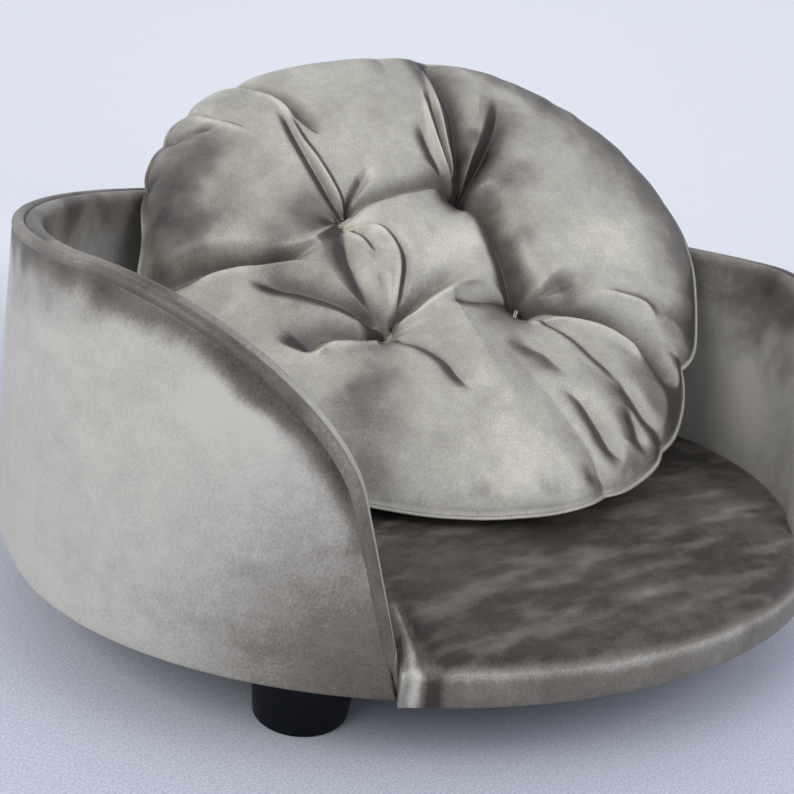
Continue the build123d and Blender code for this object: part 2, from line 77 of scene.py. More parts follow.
# The outer cover's turn under the wall, in millimetres: height over the wall's bottom and depth into it
OUTER_TURN_UNDER = [(0.7, 0.3), (0.1, 1.1), (0.0, 2.6), (0.0, 8.0), (0.0, 24.0)]
OUTER_TURN_RISE = 1.6 * MM
OUTER_BULGE = 1.6 * MM
INNER_BULGE = 1.2 * MM

# The platform's edge: its rounded corner, and where it steps out before and past an arm's tip
SEAT_ROLL = 8 * MM
SEAT_ROLL_FRONT = 4 * MM
TIP_STEP_FROM = -1.6 * MM
TIP_STEP_TO = 0.8 * MM
PLEAT_DEPTH = 2.4 * MM
PLEAT_LENGTH = 10 * MM
PLEAT_FADE = 17 * MM

# The arm's outline, on an upright plane that faces the wall at the arm's front
ARM_TURN = math.radians(32.3)
ARM_TIP = -0.052
ARM_EDGE_ANGLE = math.radians(17.0)
ARM_EDGE_TOP = 0.145
ARM_LEVEL = -0.226
ARM_EDGE_PULL = 0.035
ARM_LEVEL_PULL = 0.072

# Piping
PIPING_RADIUS = 0.0036
PIPING_INSET = 0.0034
PIPING_RISE = 0.0005
PIPING_BOTTOM = 0.0585
PIPING_TAPER = 0.014
PIPING_SIDES = 14

# Cushion
CUSHION_RADIUS = 0.231
CUSHION_FRONT = 0.044
CUSHION_BACK = 0.033
CUSHION_TURN = math.radians(30.5)
LOWER_TILT = math.radians(18.0)
UPPER_TILT = math.radians(46.8)
FOLD_START = -0.2102
FOLD_LENGTH = 0.2079
TUFT_SPACING = 0.1051
TUFT_TURN = math.radians(21.4)
TUFT_SIDE_SHIFT = 0.006
TUFT_DOWN_SHIFT = 0.008
TUFT_DEPTH = 0.027
TUFT_REACH = 0.024
THREAD_RISE = 0.0054
THREAD_RADIUS = 0.00055
FOLD_DEPTH = 1.2
FOLD_REACH = 3.5
FOLD_ROUNDNESS = 1.6
SEAM_LIP = 0.0034
SEAM_HALF_THICKNESS = 1.1 * MM

# Mesh steps
WALL_STEP = 0.003
WALL_ROWS = 44
PLATFORM_STEP = 0.003
PLATFORM_RINGS = 70
CUSHION_RINGS = 210
CUSHION_BACK_RINGS = 70
CUSHION_COLUMNS = 880
FOLD_POINTS = 28

# The camera that took the photograph, and its picture in pixels
CAMERA_AZIMUTH = math.radians(-38.27)
CAMERA_ELEVATION = math.radians(16.07)
CAMERA_ROLL = math.radians(7.09)
CAMERA_DISTANCE = 0.6204
CAMERA_TARGET = np.array([-0.0774, -0.0679, 0.1433])
FOCAL_PIXELS = 976.3
PICTURE_SIZE = 794
SENSOR_MM = 36.0

# How ragged the painted patches are, in the photograph's pixels: crushed pile, painted shade and painted
# light
PATCH_DRIFT = 26


# The photograph's view

def camera_frame():
    """The camera's place and its right, up and backward directions."""
    back = np.array([
        math.sin(CAMERA_AZIMUTH) * math.cos(CAMERA_ELEVATION),
        -math.cos(CAMERA_AZIMUTH) * math.cos(CAMERA_ELEVATION),
        math.sin(CAMERA_ELEVATION),
    ])
    right = np.cross(UP, back)
    right /= np.linalg.norm(right)
    up = np.cross(back, right)
    camera_x = math.cos(CAMERA_ROLL) * right + math.sin(CAMERA_ROLL) * up
    camera_y = -math.sin(CAMERA_ROLL) * right + math.cos(CAMERA_ROLL) * up
    return CAMERA_TARGET + back * CAMERA_DISTANCE, camera_x, camera_y, back


def photo_pixels(points):
    """Where the photograph shows some points, in its pixels."""
    place, camera_x, camera_y, back = camera_frame()
    gone = points - place
    depth = -gone @ back
    x = PICTURE_SIZE / 2 + FOCAL_PIXELS * (gone @ camera_x) / depth
    y = PICTURE_SIZE / 2 - FOCAL_PIXELS * (gone @ camera_y) / depth
    return np.stack([x, y], axis=-1)


# Numbers and shapes

def smoothstep(value, low, high):
    """0 below low, 1 above high, and a smooth rise between."""
    share = np.clip((value - low) / (high - low), 0, 1)
    return share * share * (3 - 2 * share)


def cell_value(cells, seed):
    """A repeatable random value from 0 to 1 for each whole-number cell."""
    mixed = (cells[..., 0] * 73856093) ^ (cells[..., 1] * 19349663) ^ (cells[..., 2] * 83492791)
    mixed = (mixed ^ (seed * 2654435761)) & 0xFFFFFFFF
    mixed = ((mixed ^ (mixed >> 15)) * 2246822519) & 0xFFFFFFFF
    mixed = ((mixed ^ (mixed >> 13)) * 3266489917) & 0xFFFFFFFF
    return ((mixed ^ (mixed >> 16)) & 0xFFFF) / 0xFFFF


def smooth_noise(points, size, seed):
    """Smooth noise from -1 to 1 whose bumps are about one size across."""
    scaled = np.asarray(points) / size
    base = np.floor(scaled).astype(np.int64)
    inside = scaled - base
    inside = inside * inside * (3 - 2 * inside)
    total = np.zeros(scaled.shape[:-1])
    for corner in np.ndindex(2, 2, 2):
        corner = np.array(corner)
        weight = np.prod(np.where(corner == 1, inside, 1 - inside), axis=-1)
        total += weight * cell_value(base + corner, seed)
    return 2 * total - 1


def layered_noise(points, size, seed, layers=3):
    """Noise of several sizes, each half the one before."""
    total = sum(smooth_noise(points, size / 2**k, seed + k) / 2**k for k in range(layers))
    return total / sum(1 / 2**k for k in range(layers))


def lengths_along(line):
    """How far along a line each of its points is."""
    return np.concatenate([[0], np.cumsum(np.linalg.norm(np.diff(line, axis=0), axis=1))])


def smooth_path(points, count):
    """A smooth line through given points, as evenly spaced points."""
    points = np.array(points, float)
    padded = np.vstack([2 * points[0] - points[1], points, 2 * points[-1] - points[-2]])
    line = []
    for k in range(len(points) - 1):
        a, b, c, d = padded[k:k + 4]
        t = np.linspace(0, 1, 16, endpoint=False)[:, None]
        line.append(0.5 * (2 * b + (c - a) * t + (2 * a - 5 * b + 4 * c - d) * t**2
                           + (3 * b - a - 3 * c + d) * t**3))
    line = np.vstack(line + [points[-1:]])
    length = lengths_along(line)
    even = np.linspace(0, length[-1], count)
    return np.stack([np.interp(even, length, line[:, k]) for k in range(line.shape[1])], axis=1)


def fold(places, line, depth, widths, steep, fades):
    """How far a fold along a line moves the cloth, and how far each place is inside the fold."""
    line = smooth_path(line, FOLD_POINTS)
    reach = FOLD_REACH * max(widths)
    near = np.all((places > line.min(axis=0) - reach) & (places < line.max(axis=0) + reach), axis=-1)
    moved = np.zeros(places.shape[:-1])
    shade = np.zeros(places.shape[:-1])
    spots = places[near]
    if not len(spots):
        return moved, shade
    nearest = np.full(len(spots), np.inf)
    side = np.zeros(len(spots))
    share = np.zeros(len(spots))
    steps = np.diff(line, axis=0)
    for k, step in enumerate(steps):
        gone = spots - line[k]
        along_step = np.clip((gone @ step) / (step @ step), 0, 1)
        apart = gone - along_step[:, None] * step
        distance = np.linalg.norm(apart, axis=1)
        better = distance < nearest
        nearest = np.where(better, distance, nearest)
        side = np.where(better, (step[0] * gone[:, 1] - step[1] * gone[:, 0]) / np.linalg.norm(step), side)
        share = np.where(better, (k + along_step) / len(steps), share)
    lean_to = np.clip(side / (nearest + 0.3 * MM), -1, 1)
    width = widths[0] + (widths[1] - widths[0]) * share
    width = width * (1 - 0.5 * steep * lean_to)
    fade = np.ones(len(spots))
    if fades[0] > 0:
        fade = fade * smoothstep(share, 0, fades[0])
    if fades[1] > 0:
        fade = fade * (1 - smoothstep(share, 1 - fades[1], 1))
    inside = np.exp(-(nearest / width) ** FOLD_ROUNDNESS) * fade
    moved[near] = -depth * inside
    shade[near] = inside
    return moved, shade


def sheet_mesh(name, rows, closed, cap_start=False, cap_end=False):
    """A mesh through rows of points; closed joins each row's ends, and a cap gathers a row to one point."""
    rows = np.asarray(rows, float)
    count, width = rows.shape[:2]
    vertices = rows.reshape(-1, 3)
    grid = np.arange(count * width).reshape(count, width)
    if closed:
        grid = np.hstack([grid, grid[:, :1]])
    faces = np.stack([grid[:-1, :-1], grid[:-1, 1:], grid[1:, 1:], grid[1:, :-1]], axis=-1).reshape(-1, 4)
    faces = faces.tolist()
    for wanted, row in ((cap_start, 0), (cap_end, -1)):
        if wanted:
            middle = len(vertices)
            vertices = np.vstack([vertices, rows[row].mean(axis=0)])
            for left, right in zip(grid[row, :-1].tolist(), grid[row, 1:].tolist()):
                faces.append([right, left, middle] if row == 0 else [left, right, middle])
    mesh = bpy.data.meshes.new(name)
    mesh.from_pydata(vertices.tolist(), [], faces)
    mesh.validate()
    mesh.polygons.foreach_set("use_smooth", [True] * len(mesh.polygons))
    mesh.update()
    piece = bpy.data.objects.new(name, mesh)
    bpy.context.scene.collection.objects.link(piece)
    return piece


def set_darkness(piece, values):
    """How dark each point is painted, 0 pale and 1 dark: on the velvet the pile's own tone together with
    painted shade and painted highlights; on the floor, cloth against backdrop.
    """
    layer = piece.data.attributes.new("darkness", "FLOAT", "POINT")
    layer.data.foreach_set("value", np.asarray(values, np.float32).ravel())


def facing(piece, way):
    """How far each point of the piece faces a way, from -1 to 1."""
    flat = np.zeros(len(piece.data.vertices) * 3)
    piece.data.vertices.foreach_get("normal", flat)
    return flat.reshape(-1, 3) @ np.array(way)


def points_of(piece):
    """The piece's points as an array."""
    flat = np.zeros(len(piece.data.vertices) * 3)
    piece.data.vertices.foreach_get("co", flat)
    return flat.reshape(-1, 3)


def thicken(piece, thickness, outward=-1.0):
    """Gives a cover its cloth thickness, towards its back."""
    solid = piece.modifiers.new("cloth", "SOLIDIFY")
    solid.thickness = thickness
    solid.offset = outward
    solid.use_even_offset = False


def laid_folds(folds, placed, deepened=1):
    """Listed folds with their lines as places on a piece, in metres."""
    return [
        (placed(path), deepened * depth * MM, [width * MM for width in widths], steep, fades)
        for path, depth, widths, steep, fades in folds
    ]


def seat_places(points):
    """The places on the seat that the photograph shows at some pixels, as seen from above."""
    place, camera_x, camera_y, back = camera_frame()
    points = np.array(points, float)
    right = (points[:, :1] - PICTURE_SIZE / 2) / FOCAL_PIXELS
    up = (PICTURE_SIZE / 2 - points[:, 1:]) / FOCAL_PIXELS
    ray = right * camera_x + up * camera_y - back
    return (place + ray * ((SEAT_TOP - place[2]) / ray[:, 2])[:, None])[:, :2]


def laid_patches(place, patches):
    """How dark some ragged patches, set in the photograph's pixels, paint the points of a cover: crushed pile
    and painted shade, and painted light where a strength is below nothing.
    """
    drift = np.stack([layered_noise(place, 30 * MM, seed) for seed in (147, 149)], axis=-1)
    pixels = photo_pixels(place) + PATCH_DRIFT * drift
    darkness = np.zeros(len(place))
    for x, y, reach, strength in patches:
        apart = np.hypot(pixels[:, 0] - x, pixels[:, 1] - y) / reach
        darkness += strength * np.exp(-apart**2)
    return darkness


# Patches painted on the sofa's wall, in the photograph's pixels: middle, reach and strength. Partly crushed
# pile, partly painted shade; a strength below nothing is painted light, as on the right arm's inner side
# beside the cushion, where the cushion's shade falls.
OUTER_PATCHES = [(40, 272, 34, 0.30), (96, 306, 26, 0.22), (232, 398, 34, -0.24), (272, 440, 26, -0.20)]
INNER_PATCHES = [(772, 318, 34, 0.32), (786, 368, 18, 0.20), (722, 385, 40, -0.50)]


# The wall's plan and outline

def lean(height):
    """How far the wall has leant inwards at a height."""
    return WALL_LEAN * (height - FOOT_HEIGHT) / (RIM_HEIGHT - FOOT_HEIGHT)


def plan_xy(theta, inset):
    """A point of the oval plan, drawn smaller by an inset, by the oval's angle."""
    depth = np.where(np.sin(theta) > 0, BACK_DEPTH, FRONT_DEPTH)
    x = (HALF_WIDTH - inset) * np.cos(theta)
    y = WIDEST_Y + (depth - inset) * np.sin(theta)
    return np.stack([x, y], axis=-1)


THETA_TABLE = np.radians(np.linspace(-90, 270, 7201))
ARC_TABLE = lengths_along(plan_xy(THETA_TABLE, 0))
ARC_BACK = np.interp(math.pi / 2, THETA_TABLE, ARC_TABLE)


def wall_xyz(arc, height, inset):
    """A point of the wall by its distance round the plan, its height and its depth into the wall."""
    theta = np.interp(arc, ARC_TABLE, THETA_TABLE)
    xy = plan_xy(theta, inset + lean(height))
    return np.concatenate([xy, np.broadcast_to(height, arc.shape)[..., None]], axis=-1)


def arm_arc(along, height):
    """Distance round the plan of the left wall's points behind points of the arm's plane."""
    front = np.array([math.cos(ARM_TURN), -math.sin(ARM_TURN)])
    out = np.array([-math.sin(ARM_TURN), -math.cos(ARM_TURN)])
    radius_x = HALF_WIDTH - lean(height)
    theta = np.zeros_like(along)
    for depth, sign in ((FRONT_DEPTH, -1), (BACK_DEPTH, 1)):
        radius_y = depth - lean(height)
        square = (out[0] / radius_x) ** 2 + (out[1] / radius_y) ** 2
        cross = 2 * along * (front[0] * out[0] / radius_x**2 + front[1] * out[1] / radius_y**2)
        rest = (along * front[0] / radius_x) ** 2 + (along * front[1] / radius_y) ** 2 - 1
        reach = (-cross + np.sqrt(np.maximum(cross**2 - 4 * square * rest, 0))) / (2 * square)
        x = along * front[0] + reach * out[0]
        y = along * front[1] + reach * out[1]
        here = y * sign >= 0
        theta[here] = np.arctan2(y[here] / radius_y[here], x[here] / radius_x[here])
    theta = np.where(theta < -math.pi / 2, theta + 2 * math.pi, theta)
    return np.interp(theta, THETA_TABLE, ARC_TABLE)


def arm_outline():
    """The left arm's outline from its tip to where it is level: places along the arm's plane, and heights."""
    slope = math.tan(ARM_EDGE_ANGLE)
    straight_z = np.linspace(WALL_BOTTOM, ARM_EDGE_TOP, 40)[:-1]
    straight = np.stack([ARM_TIP - slope * (straight_z - WALL_BOTTOM), straight_z], axis=1)
    low = np.array([ARM_TIP - slope * (ARM_EDGE_TOP - WALL_BOTTOM), ARM_EDGE_TOP])
    low_pull = low + ARM_EDGE_PULL * np.array([-math.sin(ARM_EDGE_ANGLE), math.cos(ARM_EDGE_ANGLE)])
    high = np.array([ARM_LEVEL, RIM_HEIGHT])
    high_pull = high + np.array([ARM_LEVEL_PULL, 0])
    t = np.linspace(0, 1, 80)[:, None]
    round_part = (
        (1 - t)**3 * low + 3 * (1 - t)**2 * t * low_pull + 3 * (1 - t) * t**2 * high_pull + t**3 * high
    )
    return np.vstack([straight, round_part])


def rim_stations():
    """The rim's outline from the left arm's tip round the back to the right arm's tip."""
    arm = arm_outline()
    arc = arm_arc(arm[:, 0], arm[:, 1])
    level_arc = arc[-1]
    arm = np.stack([arc, arm[:, 1]], axis=1)
    level = np.stack([np.linspace(level_arc, ARC_BACK, 200)[1:], np.full(199, RIM_HEIGHT)], axis=1)
    half = np.vstack([arm, level])
    other = half[::-1][1:] * np.array([-1, 1]) + np.array([2 * ARC_BACK, 0])
    line = np.vstack([half, other])
    length = lengths_along(line)
    arm_length = length[len(arm) - 1]
    even = np.linspace(0, length[-1], int(length[-1] / WALL_STEP))
    arc = np.interp(even, length, line[:, 0])
    height = np.interp(even, length, line[:, 1])
    slope = np.stack([np.gradient(arc), np.gradient(height)], axis=1)
    slope /= np.linalg.norm(slope, axis=1)[:, None]
    from_tip = np.minimum(even, even[-1] - even)
    share = np.clip(from_tip / arm_length, 0, 1)
    tip = arm[0, 0]
    left_foot = tip + (level_arc - tip) * share
    right_foot = 2 * ARC_BACK - left_foot
    foot_arc = np.where(share < 1, np.where(even < even[-1] / 2, left_foot, right_foot), arc)
    return {
        "arc": arc,
        "height": height,
        "rise_arc": slope[:, 1],
        "rise_height": -slope[:, 0],
        "from_tip": from_tip,
        "foot_arc": foot_arc,
        "tip_arc": tip,
    }


RIM = rim_stations()


def rim_row(rise, inset):
    """A row of points beside the rim's outline, a rise past it and an inset into the wall."""
    room = smoothstep(RIM["from_tip"], 0, 12 * MM)
    rise = rise * (room if rise < 0 else 1)
    arc = RIM["arc"] + RIM["rise_arc"] * rise
    height = np.maximum(RIM["height"] + RIM["rise_height"] * rise, WALL_BOTTOM)
    return arc, height, np.full_like(arc, inset)


def face_rows(top, bottom_height, count):
    """Rows of points down one face of the wall, from a row near the rim to a height."""
    arc, height, inset = top
    rows = []
    for share in np.linspace(0, 1, count)[1:]:
        down = np.minimum(bottom_height, height)
        rows.append((
            arc + (RIM["foot_arc"] - arc) * share,
            height + (down - height) * share,
            inset,
            np.full_like(arc, share),
        ))
    return rows


def outer_cover():
    """Velvet over thin foam on the wall's outside, tucked below the piping and turned under at the bottom."""
    rows = [wall_xyz(*rim_row(rise * MM, inset * MM)) for rise, inset in OUTER_TUCK]
    top = rim_row(OUTER_TUCK[-1][0] * MM, 0.0)
    for arc, height, inset, share in face_rows(top, WALL_BOTTOM + OUTER_TURN_RISE, WALL_ROWS):
        place = wall_xyz(arc, height, inset)
        swell = OUTER_BULGE * np.sin(math.pi * share) + 0.5 * MM * layered_noise(place, 70 * MM, seed=5)
        swell *= smoothstep(RIM["from_tip"], 0, 60 * MM)
        rows.append(wall_xyz(arc, height, inset - swell * np.sin(math.pi * share) ** 0.5))
    for rise, inset in OUTER_TURN_UNDER:
        height = np.full_like(RIM["foot_arc"], WALL_BOTTOM + rise * MM)
        rows.append(wall_xyz(RIM["foot_arc"], height, inset * MM))
    piece = sheet_mesh("wall_outer_cover", rows, closed=False)
    set_darkness(piece, outer_pile_and_shade(points_of(piece), (RIM["height"] - np.array(rows)[..., 2]).ravel()))
    thicken(piece, COVER_THICKNESS)
    return piece


def outer_pile_and_shade(place, below_rim):
    """How dark the outer velvet is painted: painted shade in a ragged band under the rim and low at the
    front, and patches of crushed pile, some of them painted shade and light.
    """
    height = place[:, 2]
    ragged = 14 * MM * layered_noise(place, 34 * MM, seed=21)
    # Painted shade under the rim's overhang, in a ragged band high on the wall
    shade_under_rim = 1 - smoothstep(below_rim + ragged, 3 * MM, 18 * MM)
    shade_under_rim *= smoothstep(height, 105 * MM, 165 * MM)
    patches = layered_noise(place, 60 * MM, seed=23)
    streaks = layered_noise(place * np.array([1, 1, 2.2]), 30 * MM, seed=31)
    darkness = 0.06 + shade_under_rim * (0.55 + 0.25 * smoothstep(patches, -0.3, 0.3))
    darkness += 0.06 * smoothstep(streaks, 0.05, 0.55)
    # Painted shade, growing towards the bottom of the wall's front
    front_shade = smoothstep(-np.abs(place[:, 0]), -300 * MM, -185 * MM)
    darkness += (0.10 + 0.62 * smoothstep(-height, -170 * MM, -40 * MM)) * front_shade
    return darkness + laid_patches(place, OUTER_PATCHES) * (place[:, 1] < 100 * MM)


def gathers(arc, height, share):
    """How far the inner velvet stands out in the gathers round the back corners and above the seat."""
    lean_in = arc + 0.55 * (height - SEAT_TOP) + 0.9 * (height - SEAT_TOP) ** 2 / 0.15
    place = np.stack([lean_in, 0.16 * height, np.zeros_like(arc)], axis=-1)
    folds = np.abs(smooth_noise(place, 11 * MM, seed=61)) ** 0.8
    fine = smooth_noise(place, 6 * MM, seed=67)
    corner = np.exp(-((np.abs(arc - ARC_BACK) - 0.36) / 0.085) ** 2)
    low = smoothstep(share, 0.15, 0.85)
    return (1.5 * MM * folds + 0.35 * MM * fine) * (0.95 * corner * smoothstep(share, 0.05, 0.3) + 0.25 * low)


def inner_cover():
    """Velvet over foam on the wall's inside: the rounded crest by the piping and the face down to the seat.
    The rows run from the seat up, so that the faces look inwards."""
    thin = 0.82 + 0.18 * smoothstep(RIM["from_tip"], 0, 60 * MM)
    rows = []
    for rise, inset in INNER_CREST:
        arc, height, depth = rim_row(rise * MM, inset * MM)
        rows.append(wall_xyz(arc, height, depth * thin))
    arc, height, depth = rim_row(INNER_CREST[-1][0] * MM, WALL_THICKNESS)
    for arc, height, inset, share in face_rows((arc, height, depth * thin), SEAT_TOP - SEAT_SINK, WALL_ROWS):
        place = wall_xyz(arc, height, inset)
        swell = gathers(arc, height, share) + INNER_BULGE * np.sin(math.pi * share)
        swell += 0.6 * MM * layered_noise(place, 60 * MM, seed=15) * np.sin(math.pi * share)
        rows.append(wall_xyz(arc, height, inset + swell * smoothstep(RIM["from_tip"], 0, 50 * MM)))
    piece = sheet_mesh("wall_inner_cover", rows[::-1], closed=False)
    set_darkness(piece, inner_pile_and_light(points_of(piece)))
    thicken(piece, COVER_THICKNESS)
    return piece


def inner_pile_and_light(place):
    """How dark the inner velvet is painted: in patches along the crest, paler and streaked further down, and
    the patches listed for the right arm, one of them painted light where the cushion's shade falls.
    """
    patches = layered_noise(place, 70 * MM, seed=41)
    streaks = layered_noise(place * np.array([1, 1, 0.5]), 26 * MM, seed=43)
    depth_down = smoothstep(RIM_HEIGHT - place[:, 2], 4 * MM, 50 * MM)
    uneven = 0.12 * smoothstep(patches, -0.2, 0.4) + 0.08 * smoothstep(streaks, 0, 0.5)
    crest_patches = layered_noise(place, 48 * MM, seed=45, layers=2)
    darkness = 0.1 + depth_down * (0.06 + uneven)
    darkness += (1 - depth_down) * (0.40 + 0.36 * smoothstep(crest_patches, 0.05, 0.35))
    # Right arm only: the listed patches, the largest of them painted light against the cushion's shade
    return darkness + laid_patches(place, INNER_PATCHES) * (place[:, 0] > 0)


def piping_tube():
    """Cord wrapped in velvet along the rim's outer edge, drawn to a point at both arm tips."""
    arc, height, inset = rim_row(PIPING_RISE, PIPING_INSET)
    shown = height >= PIPING_BOTTOM
    middle = wall_xyz(arc, height, inset)[shown]
    up_arc, up_height, up_inset = rim_row(PIPING_RISE + MM, PIPING_INSET)
    up = wall_xyz(up_arc, up_height, up_inset)[shown] - middle
    up /= np.linalg.norm(up, axis=1)[:, None]
    inward = wall_xyz(arc, height, inset + MM)[shown] - middle
    inward /= np.linalg.norm(inward, axis=1)[:, None]
    along = lengths_along(middle)
    from_end = np.minimum(along, along[-1] - along)
    radius = PIPING_RADIUS * (0.12 + 0.88 * smoothstep(from_end, 0, PIPING_TAPER))
    rings = []
    for side in range(PIPING_SIDES):
        turn = 2 * math.pi * side / PIPING_SIDES
        uneven = 1 + 0.035 * layered_noise(middle + 5 * MM * side, 14 * MM, seed=71)
        offset = math.cos(turn) * inward + math.sin(turn) * up
        rings.append(middle + offset * (radius * uneven)[:, None])
    piece = sheet_mesh("rim_piping_cord", np.swapaxes(rings, 0, 1), True, cap_start=True, cap_end=True)
    # Painted shade: the cord is painted a good deal darker than the velvet round it, in patches
    patches = layered_noise(points_of(piece), 40 * MM, seed=77)
    set_darkness(piece, 0.5 + 0.30 * smoothstep(patches, -0.3, 0.4))
    return piece


# The platform

# The tuck beside the left arm's tip, as folds traced in the photograph's pixels, set out like the cushion's
SEAT_FOLDS = [
    ([(397, 596), (408, 618), (421, 643), (431, 666)], 4.5, (3, 5), -0.4, (0.3, 0)),
    ([(391, 596), (399, 622), (408, 648), (417, 668)], -3.0, (3, 4), 0, (0.3, 0)),
    ([(440, 668), (452, 655), (470, 648)], 1.2, (3, 4), 0, (0, 0.5)),
]


def tip_distance(arc):
    """How far a place round the plan lies in front of the nearer arm's tip."""
    return np.maximum(2 * ARC_BACK - RIM["tip_arc"] - arc, arc - RIM["tip_arc"])


def platform_angles():
    """Angles round the platform, close together where its edge steps out at the arms' tips."""
    arc = np.linspace(0, 2 * ARC_BACK, 2001)
    share = np.cumsum(1 / PLATFORM_STEP + 1100 * np.exp(-(tip_distance(arc) / (6 * MM)) ** 2))
    share -= share[0]
    even = np.linspace(0, share[-1], 2 * int(ARC_BACK / PLATFORM_STEP) + 60, endpoint=False)
    return np.interp(np.interp(even, share, arc), ARC_TABLE, THETA_TABLE)


def platform_rows(theta, inset, front, pleat):
    """Rows of points from under the board, up the platform's edge and over the seat, and the flat's edge."""
    roll = SEAT_ROLL + SEAT_ROLL_FRONT * front
    low = (SEAT_TOP - PLATFORM_BAND_TOP) + (PLATFORM_BOTTOM - SEAT_TOP + PLATFORM_BAND_TOP) * front
    rows = []
    for wrap in (COVER_WRAP, 0.4 * COVER_WRAP, 2.4 * MM):
        xy = plan_xy(theta, inset + 2 * MM + (wrap - 2 * MM) * front)
        rows.append(np.column_stack([xy, low]))
    rows.append(np.column_stack([plan_xy(theta, inset + 0.7 * MM - 0.3 * pleat), low + 0.5 * MM]))
    for share in np.linspace(0.08, 1, 9):
        height = low + (SEAT_TOP - roll - low) * share
        bow = 0.8 * MM * math.sin(math.pi * share) * front
        rows.append(np.column_stack([plan_xy(theta, inset - bow - pleat * share), height]))
    for turn in np.radians(np.linspace(0, 90, 10))[1:]:
        offset = inset + roll * (1 - math.cos(turn)) - pleat * math.cos(turn)
        height = SEAT_TOP - roll + roll * math.sin(turn)
        rows.append(np.column_stack([plan_xy(theta, offset), height]))
    edge = plan_xy(theta, inset + roll)
    middle = np.array([0, WIDEST_Y])
    for share in np.linspace(1, 0, PLATFORM_RINGS)[1:-1]:
        xy = middle + (edge - middle) * share
        rows.append(np.column_stack([xy, np.full(len(theta), SEAT_TOP)]))
    return np.array(rows), edge


def crush_seat(rows, edge, near_tip):
    """Crushes the seat's velvet, swells its foam and presses it in under the cushion."""
    top = smoothstep(rows[..., 2], SEAT_TOP - 4 * MM, SEAT_TOP)
    flat = rows * np.array([1, 1, 0])
    edge_distance = np.linalg.norm(flat[..., :2] - edge[None], axis=-1)
    crush = 0.9 * MM * layered_noise(flat, 55 * MM, seed=81)
    crush += 0.35 * MM * layered_noise(flat, 16 * MM, seed=83)
    dome = 0.8 * MM * smoothstep(edge_distance, 0, 120 * MM)
    rows[..., 2] += top * (crush * smoothstep(edge_distance, -1 * MM, 20 * MM) + dome)
    rows[..., 2] -= top * press_of_cushion(rows)
    rows[..., 2] += 0.5 * MM * layered_noise(rows, 12 * MM, seed=87) * near_tip[None]


def tuck_seat(rows):
    """Folds the velvet beside the left arm's tip, and gives the painted shade in its valleys and the painted
    highlight on its ridge.
    """
    darkness = np.zeros(rows.shape[:-1])
    for line, depth, widths, steep, fades in laid_folds(SEAT_FOLDS, seat_places):
        moved, shade = fold(rows[..., :2], line, depth, widths, steep, fades)
        rows[..., 2] += moved * smoothstep(rows[..., 2], SEAT_TOP - 8 * MM, SEAT_TOP - 3 * MM)
        # Painted shade where the cloth dips, painted highlight where it rises
        darkness += shade * (0.3 if depth > 0 else -0.6)
    return darkness


def platform_pile_and_shade(place, pleats, tucks):
    """How dark the platform's velvet is painted: dark and streaked on the seat's top, with a painted
    highlight along the crest of its rolled front edge, and painted shade and light across the pleats by the
    arms' tips and the tuck by the left one.
    """
    top = smoothstep(place[:, 2], SEAT_TOP - 7 * MM, SEAT_TOP - 1 * MM)
    patches = layered_noise(place, 75 * MM, seed=91)
    streaks = layered_noise(place * np.array([0.35, 1.3, 1]), 15 * MM, seed=93)
    flecks = layered_noise(place * np.array([0.5, 1.2, 1]), 6 * MM, seed=97, layers=2)
    # Painted highlight along the crest of the rolled front edge
    crest_highlight = np.exp(-((place[:, 2] - SEAT_TOP + 5 * MM - 2 * MM * patches) / (3.5 * MM)) ** 2)
    band = 0.60 + 0.12 * layered_noise(place, 20 * MM, seed=95) - 0.30 * crest_highlight
    # Painted light and shade across the pleats by the arms' tips
    band[:-1] -= 0.15 * np.tile(pleats, len(tucks))
    dark = 0.95 + 0.22 * patches + 0.12 * flecks - 0.30 * smoothstep(streaks, -0.1, 0.5)
    darkness = band * (1 - top) + dark * top
    # The tuck's painted shade and highlight
    darkness[:-1] += tucks.ravel()
    return darkness


def platform_cover():
    """Velvet over the seat's foam: a crushed top, a rolled edge and a front band turned under the board."""
    theta = platform_angles()
    before_tip = tip_distance(np.interp(theta, THETA_TABLE, ARC_TABLE))
    front = smoothstep(before_tip, TIP_STEP_FROM, TIP_STEP_TO)
    inset = (WALL_THICKNESS - 0.4 * MM + lean(SEAT_TOP)) * (1 - front)
    near_tip = np.exp(-np.maximum(before_tip, 0) / PLEAT_FADE) * front
    ripple = np.sin(2 * math.pi * before_tip / PLEAT_LENGTH + 1.6 * np.sin(before_tip / (6 * MM)))
    rows, edge = platform_rows(theta, inset, front, near_tip * (PLEAT_DEPTH * ripple + 0.4 * MM))
    crush_seat(rows, edge, near_tip)
    tucks = tuck_seat(rows)
    piece = sheet_mesh("platform_cover", rows, closed=True, cap_end=True)
    set_darkness(piece, platform_pile_and_shade(points_of(piece), near_tip * ripple, tucks))
    thicken(piece, COVER_THICKNESS)
    return piece


# The cushion

def cushion_sheet(along):
    """Distance forwards, height and tilt of the cushion's middle sheet at a distance along it."""
    bend = FOLD_LENGTH / (UPPER_TILT - LOWER_TILT)
    before = np.minimum(along, FOLD_START) - FOLD_START
    inside = np.clip(along - FOLD_START, 0, FOLD_LENGTH)
    after = np.maximum(along - FOLD_START - FOLD_LENGTH, 0)
    tilt = LOWER_TILT + inside / bend
    forward = before * math.cos(LOWER_TILT) + after * math.cos(UPPER_TILT)
    forward += bend * (np.sin(tilt) - math.sin(LOWER_TILT))
    up = before * math.sin(LOWER_TILT) + after * math.sin(UPPER_TILT)
    up += bend * (math.cos(LOWER_TILT) - np.cos(tilt))
    return forward, up, tilt


